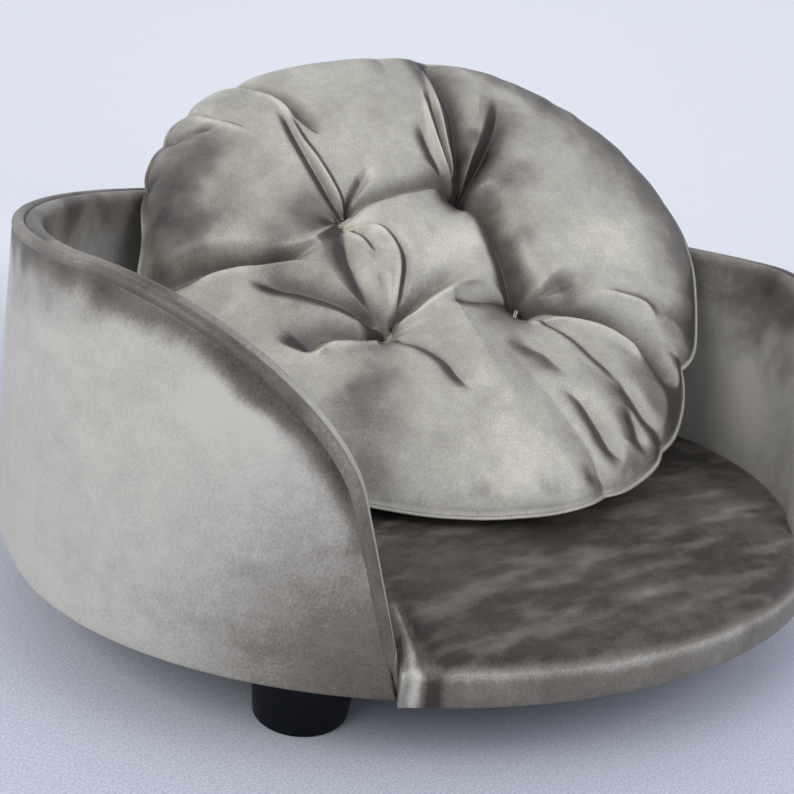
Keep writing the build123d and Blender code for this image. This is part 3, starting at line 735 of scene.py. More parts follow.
def tuft_places():
    """The four tufts, as distances across and along the cushion."""
    places = []
    for row in (1, -1):
        for column in (-1, 1):
            x = column * TUFT_SPACING / 2
            y = row * TUFT_SPACING / 2
            across = x * math.cos(TUFT_TURN) - y * math.sin(TUFT_TURN) + TUFT_SIDE_SHIFT
            along = x * math.sin(TUFT_TURN) + y * math.cos(TUFT_TURN) - TUFT_DOWN_SHIFT
            places.append((across, along))
    return np.array(places)


WAY = np.array([math.sin(CUSHION_TURN), math.cos(CUSHION_TURN), 0])
SIDE = np.array([math.cos(CUSHION_TURN), -math.sin(CUSHION_TURN), 0])
TUFTS = tuft_places()


def cushion_origin():
    """Where the cushion's middle sheet starts, from the thread through its first tuft."""
    low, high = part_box("tuft_thread_1")
    middle = np.array((low + high) / 2)
    forward, up, tilt = cushion_sheet(TUFTS[0, 1])
    front = math.cos(tilt) * UP - math.sin(tilt) * WAY
    return middle - forward * WAY - up * UP - TUFTS[0, 0] * SIDE - THREAD_RISE * front


ORIGIN = cushion_origin()
# Painted shade: the cushion's cloth is painted dark where it turns this way, and a little paler where it
# turns the other way
LEFTWARDS = -0.85 * SIDE - 0.40 * WAY - 0.35 * UP


def cushion_xyz(across, along, outward):
    """A point of the cushion by its place on the middle sheet and its distance in front of it."""
    forward, up, tilt = cushion_sheet(along)
    front = np.cos(tilt)[..., None] * UP - np.sin(tilt)[..., None] * WAY
    return (ORIGIN + forward[..., None] * WAY + up[..., None] * UP + across[..., None] * SIDE
            + outward[..., None] * front)


def press_of_cushion(rows):
    """How deep the cushion's lower edge presses into the seat."""
    low = cushion_xyz(np.array(0.0), np.array(-190 * MM), np.array(0.0))
    apart = np.linalg.norm(rows[..., :2] - low[:2], axis=-1)
    return 1.6 * MM * np.exp(-(apart / (110 * MM)) ** 2)


# The cushion's outline: how far it bulges past a circle in millimetres, by the angle from its right side
OUTLINE = [
    (0, 0), (11, 5), (22, 6), (33, 3), (48, 0), (66, -4), (86, -7), (108, -9), (124, -4), (133, 0),
    (140, 3), (151, 3), (160, -3), (169, -12), (178, -23), (192, -20), (215, -8), (240, -2), (270, 2),
    (284, 6), (301, 8), (313, 6), (325, 1), (333, -4), (341, -7), (348, -2),
]
# Where a tuck draws the outline in: angle, depth in millimetres and half width in degrees
NOTCHES = [
    (88, 3.0, 3.0), (100, 2.5, 2.5), (133, 4.5, 2.2), (146, 4.5, 2.4), (155, 5.0, 2.4), (167, 4.0, 2.4),
    (301, 3.0, 2.5), (319, 3.0, 2.5), (342, 6.0, 3.0), (57, 1.5, 3.0), (24, 1.5, 4.0), (235, 2.0, 4.0),
]
# Folds on the cushion's front, traced along the photograph in its pixels: the line, how deep the cloth dips
# in millimetres (a ridge has less than nothing), its half width at both ends, which side is steep (1 is the
# left, -1 the right), and the share of its length over which it fades in and out
FRONT_FOLDS = [
    ([(458, 200), (478, 203), (492, 214), (502, 238), (509, 260), (514, 282), (519, 298), (518, 311)],
     19, (9, 9), -0.45, (0, 0)),
    ([(517, 311), (545, 305), (580, 310), (612, 318), (638, 333), (656, 351), (668, 369)],
     14, (6, 9), -0.45, (0, 0)),
    ([(528, 320), (560, 319), (598, 325), (630, 341), (650, 362)], -3, (3, 4), 0, (0.1, 0.2)),
    ([(524, 316), (552, 322), (575, 335), (592, 350), (608, 368), (622, 390)], 4, (4, 6), -0.5, (0, 0.4)),
    ([(505, 338), (540, 348), (556, 361), (570, 380)], 3.2, (10, 10), 0, (0.4, 0.4)),
    ([(556, 385), (580, 402), (597, 425), (610, 450), (622, 468), (631, 482)], 3.8, (6, 8), -0.3, (0.5, 0.2)),
    ([(627, 400), (632, 420), (638, 445), (641, 465)], 3, (6, 8), 0, (0.4, 0.3)),
    ([(612, 372), (630, 394), (645, 418), (655, 440)], 3, (6, 8), 0, (0.4, 0.3)),
    ([(404, 338), (425, 343), (448, 357), (462, 376), (474, 395)], 5, (6, 8), -0.3, (0, 0.4)),
    ([(386, 336), (366, 334), (345, 330), (325, 329), (310, 337), (300, 352)], 11, (6, 12), 0.4, (0, 0.2)),
    ([(384, 342), (350, 342), (330, 345), (317, 354), (306, 367)], -3, (3, 4), 0, (0.1, 0.3)),
    ([(394, 320), (410, 306), (425, 292), (442, 279), (460, 270), (482, 268)], 9, (5, 12), -0.4, (0, 0.5)),
    ([(395, 323), (415, 315), (432, 303), (448, 292), (466, 284), (488, 281)], -5, (3.5, 6), 0, (0.05, 0.5)),
    ([(425, 304), (450, 297), (475, 298), (500, 301), (515, 311)], 5, (6, 6), -0.4, (0.6, 0)),
    ([(343, 231), (350, 256), (362, 282), (375, 304), (388, 326)], 5.5, (6, 11), 0.2, (0.3, 0)),
    ([(352, 228), (366, 234), (375, 247), (381, 264)], 3.5, (4, 6), 0, (0.1, 0.6)),
    ([(378, 256), (386, 284), (391, 316)], 2, (6, 5), 0, (0.4, 0.2)),
    ([(353, 223), (378, 226), (397, 238), (407, 258), (404, 286), (394, 322)], 4, (4, 9), -0.1, (0.45, 0)),
    ([(350, 229), (380, 227), (396, 243), (401, 262), (399, 288), (393, 320)], -3, (3, 4), 0, (0.2, 0)),
    ([(345, 232), (365, 240), (380, 256)], -2, (2, 3), 0, (0.05, 0.5)),
    ([(148, 276), (176, 268), (205, 259), (235, 254), (265, 254), (300, 250), (322, 241)],
     16, (14, 5), -0.4, (0, 0.3)),
    ([(186, 281), (215, 271), (250, 265), (290, 262), (325, 262)], -3, (4, 4), 0, (0.2, 0.4)),
    ([(255, 245), (290, 244), (315, 239), (338, 229)], -3, (5, 3), 0, (0.5, 0)),
    ([(240, 278), (275, 281), (310, 288), (340, 298), (365, 312), (384, 330)], 9, (11, 6), -0.2, (0.3, 0.1)),
    ([(341, 214), (328, 190), (312, 162), (297, 136), (284, 112), (275, 98)], 5.5, (3, 5), 0, (0, 0.4)),
    ([(345, 212), (334, 188), (318, 162), (303, 138), (291, 118), (283, 103)], -3, (2.5, 3), 0, (0, 0.3)),
    ([(325, 160), (310, 138), (297, 119), (284, 103)], 4, (4, 6), 0, (0.4, 0.3)),
    ([(234, 82), (257, 86), (275, 91), (290, 100), (303, 112), (315, 124), (322, 136)],
     11, (7, 6), -0.7, (0, 0.25)),
    ([(236, 86), (258, 91), (276, 99), (290, 111), (303, 125), (318, 146)], -3.5, (4, 3), 0, (0.1, 0.4)),
    ([(347, 212), (354, 196), (362, 178), (370, 162)], 6, (3, 6), 0, (0, 0.4)),
    ([(349, 212), (366, 199), (392, 190), (416, 183), (436, 179), (448, 186), (457, 199)],
     9, (5, 7), -0.6, (0, 0)),
    ([(457, 197), (451, 175), (443, 155), (434, 130), (427, 106), (421, 84)], -3.5, (2, 3), 0, (0, 0.3)),
    ([(452, 192), (440, 165), (428, 140), (418, 112)], 4, (4, 7), 0, (0, 0.4)),
    ([(458, 192), (452, 165), (443, 138), (435, 112), (428, 88)], 5, (2.5, 4), 0, (0, 0.3)),
    ([(460, 180), (450, 145), (441, 112), (433, 84), (426, 66)], -3.5, (2, 3.5), 0, (0.1, 0)),
    ([(460, 192), (461, 165), (459, 135), (454, 108), (446, 84), (434, 62)], 16, (4.5, 13), 0.3, (0, 0)),
    ([(459, 197), (464, 178), (472, 158), (481, 138), (488, 116), (492, 94)], -4, (2.5, 6), 0, (0, 0.4)),
    ([(462, 196), (470, 178), (480, 160), (491, 138), (500, 114), (507, 90)], 14, (4.5, 16), 0.3, (0, 0.45)),
    ([(519, 306), (540, 294), (562, 284), (588, 276)], 4, (4, 9), 0, (0, 0.4)),
    ([(519, 302), (540, 284), (560, 268), (578, 260)], -2.5, (3, 6), 0, (0, 0.4)),
    ([(520, 300), (527, 280), (533, 262)], 3, (3, 7), 0, (0, 0.5)),
    ([(170, 138), (188, 131), (205, 127), (222, 123)], 7, (7, 3), -0.5, (0, 0.3)),
    ([(184, 114), (205, 119), (230, 125), (262, 136)], -2.5, (4, 3), 0, (0.1, 0.4)),
    ([(186, 116), (200, 113), (214, 112)], 3, (4, 3), 0, (0, 0.5)),
    ([(141, 182), (150, 176), (162, 172)], 4, (5, 3), 0, (0, 0.5)),
    ([(474, 520), (482, 505), (496, 488)], 3, (7, 6), 0, (0, 0.6)),
    ([(556, 518), (562, 504), (572, 492)], 1.5, (10, 9), 0, (0, 0.7)),
    ([(598, 506), (603, 494), (606, 480)], 2, (6, 6), 0, (0, 0.6)),
    ([(592, 290), (620, 296), (645, 305), (660, 322)], -2.5, (4, 4), 0, (0.3, 0.3)),
]
# The folds of its back, which the photograph doesn't show, in millimetres across and along it from its middle
BACK_FOLDS = [
    ([(-62, 22), (-36, 38), (8, 54), (36, 60)], 9, (8, 8), 0, (0, 0)),
    ([(36, 60), (58, 30), (68, -8), (74, -38)], 9, (8, 8), 0, (0, 0)),
    ([(-24, -76), (8, -70), (44, -54), (74, -38)], 9, (8, 8), 0, (0, 0)),
    ([(-62, 22), (-54, -10), (-38, -48), (-24, -76)], 9, (8, 8), 0, (0, 0)),
    ([(-62, 22), (-112, 40), (-176, 66)], 7, (5, 11), 0, (0, 0.4)),
    ([(-62, 22), (-84, 84), (-98, 150)], 5, (4, 10), 0, (0, 0.5)),
    ([(36, 60), (54, 116), (74, 186)], 7, (5, 11), 0, (0, 0.4)),
    ([(36, 60), (24, 118), (10, 176)], 5, (4, 10), 0, (0, 0.5)),
    ([(74, -38), (124, -52), (186, -76)], 7, (5, 11), 0, (0, 0.4)),
    ([(-24, -76), (-46, -126), (-58, -186)], 7, (5, 11), 0, (0, 0.4)),
]
# Patches painted on the cushion's front, in the photograph's pixels: middle, reach and strength. Partly
# crushed pile, partly painted shade beside the deep folds; a strength below nothing is painted light.
CUSHION_PATCHES = [
    (158, 196, 50, 0.80), (168, 240, 30, 0.50), (196, 142, 26, 0.35), (310, 200, 26, 0.28),
    (278, 236, 26, 0.28), (505, 176, 34, 0.42), (478, 150, 16, 0.35), (529, 270, 16, 0.35),
    (568, 288, 20, 0.42), (300, 296, 30, 0.20), (366, 402, 30, 0.28), (372, 470, 26, 0.30),
    (668, 292, 24, -0.20), (612, 486, 22, 0.20), (350, 440, 50, 0.18), (512, 240, 18, 0.35),
    (440, 176, 16, 0.25), (360, 310, 22, 0.25), (450, 245, 40, -0.16), (545, 430, 60, -0.12),
    (620, 230, 40, -0.1),
]
# Both ends of the thread that shows at each tuft, in the photograph's pixels
TUFT_STRANDS = [
    ((338, 229), (351, 213)), ((455, 202), (461, 192)), ((383, 341), (394, 322)), ((514, 318), (520, 303)),
]


def cushion_radius(angle):
    """The cushion's outline, drawn in where the cloth is tucked."""
    degrees = np.degrees(angle) % 360
    marks = np.array(OUTLINE + [(OUTLINE[0][0] + 360, OUTLINE[0][1])], float)
    even = np.interp(np.arange(0, 360, 2.0), marks[:, 0], marks[:, 1])
    soft = sum(np.roll(even, k) for k in (-2, -1, 0, 1, 2)) / 5
    bulge = np.interp(degrees, np.arange(0, 362, 2.0), np.append(soft, soft[0]))
    for middle, depth, width in NOTCHES:
        apart = np.abs((degrees - middle + 180) % 360 - 180)
        bulge = bulge - depth * np.exp(-(apart / width) ** 1.3)
    around = np.stack([np.cos(angle), np.sin(angle), np.zeros_like(angle)], axis=-1)
    return CUSHION_RADIUS + bulge * MM + 0.8 * MM * smooth_noise(around, 0.12, seed=103)


def stuffed_height(share, fullness):
    """How far the cushion's face stands from its middle sheet, by the share of the way to its edge."""
    return fullness * np.maximum(1 - share**3.0, 0) ** 0.52


def tuft_pull(across, along):
    """How far the tufts draw the cloth in at a place."""
    places = np.stack([across, along], axis=-1)
    pull = np.zeros_like(across)
    for tuft in TUFTS:
        apart = np.linalg.norm(places - tuft, axis=-1)
        pull = np.maximum(pull, TUFT_DEPTH * np.exp(-(apart / TUFT_REACH) ** 0.95))
    return pull


def photo_lookup():
    """The places of the cushion's smooth front and where the photograph shows them."""
    steps = np.arange(-0.235, 0.236, 1.25 * MM)
    across, along = (side.ravel() for side in np.meshgrid(steps, steps))
    share = np.hypot(across, along) / CUSHION_RADIUS
    across, along, share = (side[share < 0.99] for side in (across, along, share))
    height = stuffed_height(share, CUSHION_FRONT) - tuft_pull(across, along)
    pixels = photo_pixels(cushion_xyz(across, along, height))
    return np.stack([across, along], axis=-1), pixels


LOOKUP_PLACES, LOOKUP_PIXELS = photo_lookup()


def from_photo(points):
    """The places on the cushion's front that the photograph shows at some pixels."""
    found = [np.argmin(np.sum((LOOKUP_PIXELS - point) ** 2, axis=1)) for point in np.array(points, float)]
    return LOOKUP_PLACES[found]


FACES = {
    "front": {
        "side": 1,
        "fullness": CUSHION_FRONT,
        "folds": laid_folds(FRONT_FOLDS, from_photo, FOLD_DEPTH),
        "rings": CUSHION_RINGS,
        "seed": 111,
    },
    "back": {
        "side": -1,
        "fullness": CUSHION_BACK,
        "folds": laid_folds(BACK_FOLDS, lambda path: np.array(path) * MM),
        "rings": CUSHION_BACK_RINGS,
        "seed": 131,
    },
}


def tuft_puckers(across, along, seed):
    """Small pleats that run out from each tuft."""
    puckers = np.zeros_like(across)
    for number, tuft in enumerate(TUFTS):
        x = across - tuft[0]
        y = along - tuft[1]
        apart = np.hypot(x, y)
        around = np.stack([x / (apart + MM), y / (apart + MM), np.full_like(x, number + 0.1 * seed)], axis=-1)
        near = np.exp(-apart / (17 * MM)) * smoothstep(apart, 0, 7 * MM)
        puckers += 2.2 * MM * near * smooth_noise(around, 0.42, seed + number)
    return puckers


def cushion_face(across, along, share, face):
    """Height of one face of the cushion, and the painted shade in its folds' valleys and painted highlight on
    their ridges.
    """
    seed = face["seed"]
    places = np.stack([across, along], axis=-1)
    flat = np.stack([across, along, np.full_like(across, seed * 0.1)], axis=-1)
    height = stuffed_height(share, face["fullness"]) * (1 + 0.03 * smooth_noise(flat, 90 * MM, seed))
    room = np.minimum(1, height / (14 * MM))
    height = height - tuft_pull(across, along) + tuft_puckers(across, along, seed)
    valleys = np.zeros_like(height)
    ridges = np.zeros_like(height)
    darkness = np.zeros_like(height)
    for line, depth, widths, steep, fades in face["folds"]:
        moved, shade = fold(places, line, depth, widths, steep, fades)
        valleys = np.minimum(valleys, moved) + 0.35 * np.maximum(valleys, moved) * (moved < 0)
        ridges = ridges + np.maximum(moved, 0)
        # Painted shade in the valleys, stronger for deeper folds, and painted highlight on the ridges
        darkness += (0.26 if depth > 0 else -0.34) * shade * min(2.5, abs(depth) / (7 * MM))
    height = height + (valleys + ridges) * room
    edge = smoothstep(share, 0.78, 0.98) * (1 - smoothstep(share, 0.985, 1.0))
    height = height - 2.2 * MM * np.abs(smooth_noise(flat, 24 * MM, seed + 3)) * edge
    height = height + 0.5 * MM * layered_noise(flat, 36 * MM, seed + 5) * room
    return np.maximum(height, 0.4 * MM), darkness


def cushion_pile_and_shade(piece, darkness):
    """How dark the cushion's cover is painted: painted shade where the cloth turns to the left and painted
    light where it turns the other way, the listed patches, and random patches and streaks of crushed pile.
    """
    place = points_of(piece)
    turned = facing(piece, LEFTWARDS)
    # Painted shade on slopes turned to the left, painted light on those turned to the right
    darkness = darkness + 1.0 * smoothstep(turned, 0.0, 0.66) - 0.16 * smoothstep(-turned, 0.15, 0.75)
    darkness = darkness + laid_patches(place, CUSHION_PATCHES)
    patches = layered_noise(place, 70 * MM, seed=141)
    streaks = layered_noise(place, 26 * MM, seed=143)
    return 0.14 + darkness + 0.10 * smoothstep(patches, -0.05, 0.5) + 0.06 * smoothstep(streaks, 0.0, 0.5)


def tufted_cushion():
    """The loose cushion: two stuffed velvet faces sewn together at the edge, tufted and folded."""
    angle = np.linspace(0, 2 * math.pi, CUSHION_COLUMNS, endpoint=False)
    radius = cushion_radius(angle)
    rows = {}
    painted_fold_shade = {}
    for name, face in FACES.items():
        shares = np.linspace(0, 1, face["rings"])[1:, None] ** 0.85
        across = shares * radius * np.cos(angle)
        along = shares * radius * np.sin(angle)
        height, darkness = cushion_face(across, along, shares * np.ones_like(across), face)
        rows[name] = list(cushion_xyz(across, along, face["side"] * height))
        painted_fold_shade[name] = list(darkness)
    lip = []
    for out, side in ((0.5, 1), (0.9, 0.8), (1, 0), (0.9, -0.8), (0.5, -1)):
        across = (radius + out * SEAM_LIP) * np.cos(angle)
        along = (radius + out * SEAM_LIP) * np.sin(angle)
        lip.append(cushion_xyz(across, along, np.full_like(angle, side * SEAM_HALF_THICKNESS)))
    order = rows["front"] + lip + rows["back"][::-1]
    # The folds' painted shade and highlights, and a painted highlight along the seam's lip
    painted_shade_order = painted_fold_shade["front"] + [np.full_like(angle, -0.1)] * len(lip) + painted_fold_shade["back"][::-1]
    piece = sheet_mesh("tufted_cushion", order, closed=True, cap_start=True, cap_end=True)
    darkness = np.concatenate([np.array(painted_shade_order).ravel(), [0, 0]])
    set_darkness(piece, cushion_pile_and_shade(piece, darkness))
    return piece


def face_height(place, name):
    """How far one face of the cushion stands from its middle sheet at a place."""
    across, along = np.array([place[0]]), np.array([place[1]])
    share = np.hypot(across, along) / CUSHION_RADIUS
    return cushion_face(across, along, share, FACES[name])[0][0]


def tuft_stitch(number, tuft):
    """The waxed thread that holds a tuft: two short strands across the pinch and one through the cushion."""
    curve = bpy.data.curves.new(f"tuft_stitch_{number}", "CURVE")
    curve.dimensions = "3D"
    curve.bevel_depth = THREAD_RADIUS
    curve.bevel_resolution = 3
    start, end = from_photo(TUFT_STRANDS[number - 1])
    way = end - start
    aside = np.array([-way[1], way[0]]) / np.linalg.norm(way) * 0.8 * MM
    middle = (start + end) / 2
    strands = []
    for shift in (-1, 1):
        strand = []
        for share in np.linspace(0, 1, 6):
            place = start + way * share + aside * shift
            lift = 0.5 * MM if 0 < share < 1 else -0.8 * MM
            strand.append((*place, max(face_height(place, "front"), face_height(middle, "front")) + lift))
        strands.append(strand)
    front = face_height(tuft, "front") - 0.2 * MM
    back = face_height(tuft, "back") + 0.2 * MM
    strands.append([(*tuft, front), (*tuft, -back)])
    for strand in strands:
        spline = curve.splines.new("POLY")
        spline.points.add(len(strand) - 1)
        for point, (x, y, out) in zip(spline.points, strand):
            place = cushion_xyz(np.array(x), np.array(y), np.array(out))
            point.co = (*place, 1)
    piece = bpy.data.objects.new(curve.name, curve)
    bpy.context.scene.collection.objects.link(piece)
    return piece


def dust_cloth():
    """The black non-woven cloth stapled under the board."""
    count = 180
    theta = np.linspace(0, 2 * math.pi, count, endpoint=False)
    edge = plan_xy(theta, DUST_CLOTH_INSET)
    middle = np.array([0, WIDEST_Y])
    rows = []
    for share in np.linspace(1, 0, 50)[:-1]:
        xy = middle + (edge - middle) * share
        flat = np.column_stack([xy, np.zeros(count)])
        ripple = 0.3 * MM * np.abs(layered_noise(flat, 40 * MM, seed=151))
        rows.append(np.column_stack([xy, np.full(count, FOOT_HEIGHT + DUST_CLOTH_RISE) + ripple]))
    piece = sheet_mesh("dust_cloth", rows, closed=True, cap_end=True)
    thicken(piece, DUST_CLOTH_THICKNESS, 1.0)
    return piece


# Materials

def srgb(code):
    """The linear colour of an sRGB hex value."""
    shares = [int(code[k:k + 2], 16) / 255 for k in (0, 2, 4)]
    return (*(s / 12.92 if s <= 0.04045 else ((s + 0.055) / 1.055) ** 2.4 for s in shares), 1.0)


def feed(tree, item, inputs):
    """Sets a node's inputs, each to a value or to another node's output."""
    for name, value in inputs.items():
        if isinstance(value, bpy.types.NodeSocket):
            tree.links.new(value, item.inputs[name])
        else:
            item.inputs[name].default_value = value


def add_node(tree, kind, inputs, **settings):
    """A node with its inputs and its other settings."""
    item = tree.nodes.new(kind)
    for name, value in settings.items():
        setattr(item, name, value)
    feed(tree, item, inputs)
    return item


def new_material(name):
    """An empty material, its node tree, shader and object coordinates."""
    material = bpy.data.materials.new(name)
    material.use_nodes = True
    tree = material.node_tree
    shader = tree.nodes["Principled BSDF"]
    coords = add_node(tree, "ShaderNodeTexCoord", {}).outputs["Object"]
    return material, tree, shader, coords


def darkness_value(tree):
    """How dark each point is painted, as set on the mesh, painted shade and highlights included."""
    return add_node(tree, "ShaderNodeAttribute", {}, attribute_name="darkness").outputs["Fac"]


def noise_value(tree, coords, size_mm, detail, roughness=0.5, distortion=0.0):
    """Noise from 0 to 1 with marks of a size in millimetres."""
    return add_node(tree, "ShaderNodeTexNoise", {
        "Vector": coords, "Scale": 1 / (size_mm * MM), "Detail": detail, "Roughness": roughness,
        "Distortion": distortion,
    }).outputs["Fac"]


def in_range(tree, value, old, new):
    """A value brought from an old range into a new one."""
    return add_node(tree, "ShaderNodeMapRange", {
        "Value": value, "From Min": old[0], "From Max": old[1], "To Min": new[0], "To Max": new[1],
    }).outputs["Result"]


def ramp_colour(tree, value, stops):
    """The colour for a value, from values with their sRGB colours."""
    ramp = add_node(tree, "ShaderNodeValToRGB", {"Fac": value})
    elements = ramp.color_ramp.elements
    while len(elements) < len(stops):
        elements.new(1.0)
    for element, (share, code) in zip(elements, stops):
        element.position = share
        element.color = srgb(code)
    return ramp.outputs["Color"]


def bumps(tree, height, strength, depth_mm, base=None):
    """The directions of a surface with bumps of a depth in millimetres, on a base that can have its own."""
    inputs = {"Height": height, "Strength": strength, "Distance": depth_mm * MM}
    if base is not None:
        inputs["Normal"] = base
    return add_node(tree, "ShaderNodeBump", inputs).outputs["Normal"]


def crushed_velvet(name, colours, patch_mm, gloss, sheen):
    """Woven polyester velvet, its short pile crushed, coloured by the darkness set on the mesh: soft-edged
    patches of crushed pile together with painted shade and painted highlights; its sheen makes it glow
    faintly where it is seen edge on. The pile is drawn coarser than it is, so that it shows."""
    material, tree, shader, coords = new_material(name)
    darkness = darkness_value(tree)
    heights = []
    # Large patches, brushed marks and the pile: size in millimetres, noise, and what it adds to the darkness
    for size_mm, detail, roughness, distortion, old, new in (
        (patch_mm, 5.0, 0.62, 0.8, (0.36, 0.68), (-0.04, 0.05)),
        (9, 4.0, 0.65, 0.4, (0.3, 0.7), (-0.045, 0.045)),
        (1.3, 3.0, 0.7, 0.0, (0.3, 0.7), (-0.10, 0.10)),
    ):
        heights.append(noise_value(tree, coords, size_mm, detail, roughness, distortion))
        added = in_range(tree, heights[-1], old, new)
        darkness = add_node(tree, "ShaderNodeMath", {0: darkness, 1: added}, operation="ADD").outputs["Value"]
    feed(tree, shader, {
        # The first colour is a painted highlight for the ridges; the last is the darkest pile and the painted
        # shade of deep folds
        "Base Color": ramp_colour(tree, darkness, list(zip((0.0, 0.16, 0.55, 1.0), colours))),
        "Normal": bumps(tree, heights[2], 0.4, 0.25, base=bumps(tree, heights[1], 0.35, 0.4)),
        "Roughness": 0.46, "IOR": 1.5, "Specular IOR Level": gloss, "Sheen Weight": sheen,
        "Sheen Roughness": 0.38, "Sheen Tint": srgb("e6e0d6"),
    })
    return material


def moulded_plastic():
    """Black polypropylene, moulded with a fine satin texture."""
    material, tree, shader, coords = new_material("moulded_black_plastic")
    grain = noise_value(tree, coords, 0.8, 2.0)
    feed(tree, shader, {
        "Base Color": srgb("04080f"), "Specular IOR Level": 0.15, "IOR": 1.49,
        "Roughness": in_range(tree, grain, (0.3, 0.7), (0.30, 0.44)), "Normal": bumps(tree, grain, 0.25, 0.1),
    })
    return material


def birch_plywood():
    """Sanded birch plywood: pale wood with long faint grain."""
    material, tree, shader, coords = new_material("birch_plywood")
    stretch = add_node(tree, "ShaderNodeMapping", {"Vector": coords, "Scale": (1.0, 0.08, 1.0)})
    grain = noise_value(tree, stretch.outputs["Vector"], 6, 5.0, distortion=0.5)
    colour = ramp_colour(tree, grain, [(0.3, "d9bd8f"), (0.7, "b98f5d")])
    feed(tree, shader, {"Base Color": colour, "Roughness": 0.6})
    return material


def zinc_steel():
    """Zinc-plated steel, dull from handling."""
    material, tree, shader, coords = new_material("zinc_plated_steel")
    rough = in_range(tree, noise_value(tree, coords, 3, 3.0), (0.3, 0.7), (0.28, 0.45))
    feed(tree, shader, {"Base Color": srgb("c9c9c6"), "Metallic": 1.0, "Roughness": rough})
    return material


def nonwoven_cloth():
    """Black spun-bonded polypropylene cloth with its pressed dot pattern."""
    material, tree, shader, coords = new_material("black_nonwoven_cloth")
    inputs = {"Vector": coords, "Scale": 1 / (2.2 * MM), "Randomness": 0.15}
    dots = add_node(tree, "ShaderNodeTexVoronoi", inputs).outputs["Distance"]
    colour = ramp_colour(tree, dots, [(0.15, "0d0d0e"), (0.5, "1d1d1f")])
    feed(tree, shader, {"Base Color": colour, "Roughness": 0.85, "Normal": bumps(tree, dots, 0.4, 0.15)})
    return material


def waxed_thread():
    """Twisted polyester thread, waxed."""
    material, tree, shader, coords = new_material("waxed_thread")
    inputs = {"Vector": coords, "Scale": 1 / (4 * MM), "Distortion": 1.0}
    twist = add_node(tree, "ShaderNodeTexWave", inputs, bands_direction="DIAGONAL").outputs["Fac"]
    feed(tree, shader, {
        "Base Color": ramp_colour(tree, twist, [(0.2, "8f8a82"), (0.8, "cfcac0")]), "Roughness": 0.5,
    })
    return material


def put_on(piece, material):
    """Gives a piece its one material."""
    piece.data.materials.clear()
    piece.data.materials.append(material)


materials = {
    # Each velvet's colours: painted highlight, pale, middle, and dark, which is also its painted shade
    "sofa_velvet": crushed_velvet(
        "crushed_velvet_sofa", ("b4b1aa", "a5a39d", "6c665f", "322c27"), patch_mm=46, gloss=0.28, sheen=0.12
    ),
    "cushion_velvet": crushed_velvet(
        "crushed_velvet_cushion", ("bdbaae", "a19f95", "68615a", "28231f"), patch_mm=52, gloss=0.6, sheen=0.12
    ),
    "black_plastic": moulded_plastic(),
    "plywood": birch_plywood(),
    "steel": zinc_steel(),
    "dust_cloth": nonwoven_cloth(),
    "thread": waxed_thread(),
}

for node_name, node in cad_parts.items():
    if node_name.endswith("_foot"):
        put_on(node, materials["black_plastic"])
    elif node_name in ("base_board", "wall_board"):
        put_on(node, materials["plywood"])
    elif node_name.endswith(("_bolt", "_nut")) or node_name.startswith("wall_screw"):
        put_on(node, materials["steel"])


# Pieces, what they stand for and what they ride on

def add_piece(piece, slot, body, *nodes):
    """Gives a piece the slot's material, hangs it on its body and hides the nodes that it stands for."""
    put_on(piece, materials[slot])
    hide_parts(*nodes)
    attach(piece, body)
    return piece


outer = add_piece(outer_cover(), "sofa_velvet", "sofa", "outer_cover", "outer_foam")

inner = add_piece(inner_cover(), "sofa_velvet", "sofa", "inner_cover", "inner_foam")

add_piece(piping_tube(), "sofa_velvet", "sofa", "rim_piping")

platform = add_piece(platform_cover(), "sofa_velvet", "sofa", "base_cover", "base_foam")

dust = add_piece(dust_cloth(), "dust_cloth", "sofa", "dust_cover")

cushion = add_piece(tufted_cushion(), "cushion_velvet", "cushion", "cushion_cover", "cushion_fill")

for number, tuft in enumerate(TUFTS, 1):
    add_piece(tuft_stitch(number, tuft), "thread", "cushion", f"tuft_thread_{number}")


# Floor, backdrop, light and camera

FLOOR_FRONT = -3.0
FLOOR_BACK = 2.0
BACKDROP_RADIUS = 1.0
BACKDROP_TOP = 3.5
STUDIO_HALF_WIDTH = 4
STUDIO_TURN = math.radians(-38)
CLOTH_FADES_FROM = 0.1
CLOTH_FADES_TO = 1.3
LAMP_TARGET = (0, 0, 0.12)
LAMP_SIZE = 0.9


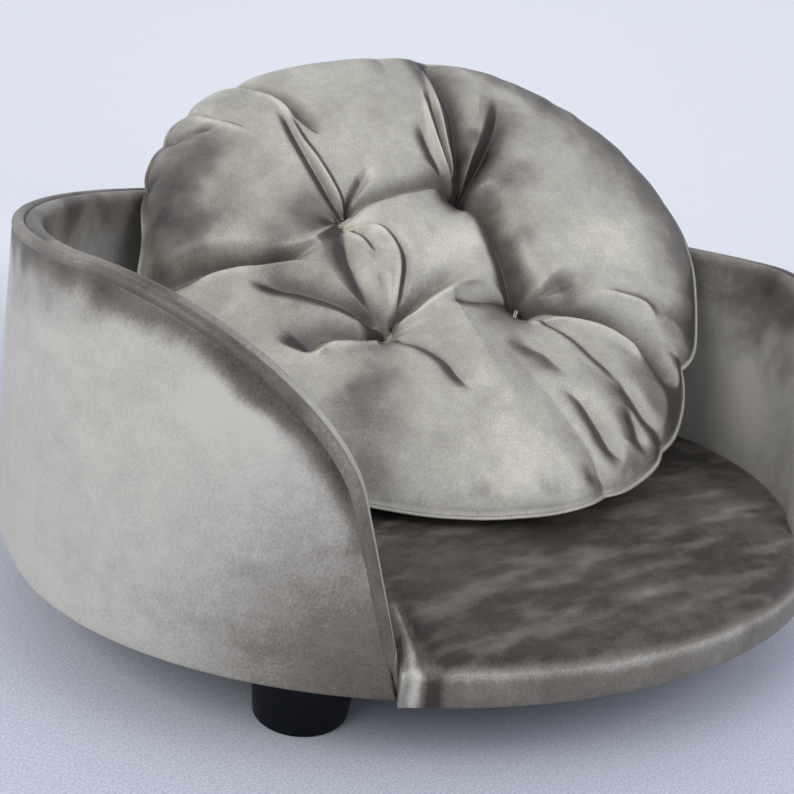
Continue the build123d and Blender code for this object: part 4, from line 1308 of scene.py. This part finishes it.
def studio():
    """A floor spread with bluish cloth that curves up into a pale backdrop."""
    depths = [(away, 0.0) for away in np.linspace(FLOOR_FRONT, FLOOR_BACK, 101)]
    for turn in np.radians(np.linspace(0, 90, 12)):
        depths.append((
            FLOOR_BACK + BACKDROP_RADIUS * math.sin(turn),
            BACKDROP_RADIUS - BACKDROP_RADIUS * math.cos(turn),
        ))
    depths.append((FLOOR_BACK + BACKDROP_RADIUS, BACKDROP_TOP))
    rows = []
    for away, height in depths:
        rows.append([(x, away, height) for x in np.linspace(-STUDIO_HALF_WIDTH, STUDIO_HALF_WIDTH, 9)])
    floor = sheet_mesh("studio_floor", rows, closed=False)
    set_darkness(floor, 1 - smoothstep(points_of(floor)[:, 1], CLOTH_FADES_FROM, CLOTH_FADES_TO))
    floor.data.transform(Matrix.Rotation(STUDIO_TURN, 4, "Z"))
    material, tree, shader, coords = new_material("pale_backdrop")
    weave = noise_value(tree, coords, 1.3, 1.0)
    cloth = ramp_colour(tree, weave, [(0.2, "9ea6b9"), (0.8, "ccd0da")])
    inputs = {"Fac": darkness_value(tree), "Color1": srgb("f4f6fb"), "Color2": cloth}
    colour = add_node(tree, "ShaderNodeMixRGB", inputs).outputs["Color"]
    feed(tree, shader, {"Base Color": colour, "Roughness": 0.9, "Normal": bumps(tree, weave, 0.2, 0.3)})
    put_on(floor, material)


def area_light(name, place, power, colour):
    """A soft square lamp that looks at the sofa."""
    lamp = bpy.data.lights.new(name, "AREA")
    lamp.size = LAMP_SIZE
    lamp.energy = power
    lamp.color = srgb(colour)[:3]
    item = bpy.data.objects.new(name, lamp)
    item.location = place
    item.rotation_euler = (Vector(LAMP_TARGET) - Vector(place)).to_track_quat("-Z", "Y").to_euler()
    bpy.context.scene.collection.objects.link(item)


def world_light(colour, strength):
    """An even sky."""
    world = bpy.data.worlds.new("pale_sky")
    world.use_nodes = True
    background = world.node_tree.nodes["Background"]
    background.inputs["Color"].default_value = srgb(colour)
    background.inputs["Strength"].default_value = strength
    bpy.context.scene.world = world


def photo_camera():
    """The camera at the photograph's place, seen from the front left and a little above."""
    place, camera_x, camera_y, back = camera_frame()
    data = bpy.data.cameras.new("photo_camera")
    data.sensor_width = SENSOR_MM
    data.lens = FOCAL_PIXELS * SENSOR_MM / PICTURE_SIZE
    camera = bpy.data.objects.new("photo_camera", data)
    matrix = Matrix((camera_x, camera_y, back)).transposed().to_4x4()
    matrix.translation = Vector(place)
    camera.matrix_world = matrix
    bpy.context.scene.collection.objects.link(camera)
    bpy.context.scene.camera = camera


studio()
area_light("window", (-1.5, -0.35, 1.15), power=16, colour="fffaf4")
area_light("fill", (0.45, -1.4, 1.25), power=8, colour="fbf9ff")
world_light("eaeef5", 0.90)
photo_camera()
bpy.context.scene.view_settings.view_transform = "Standard"
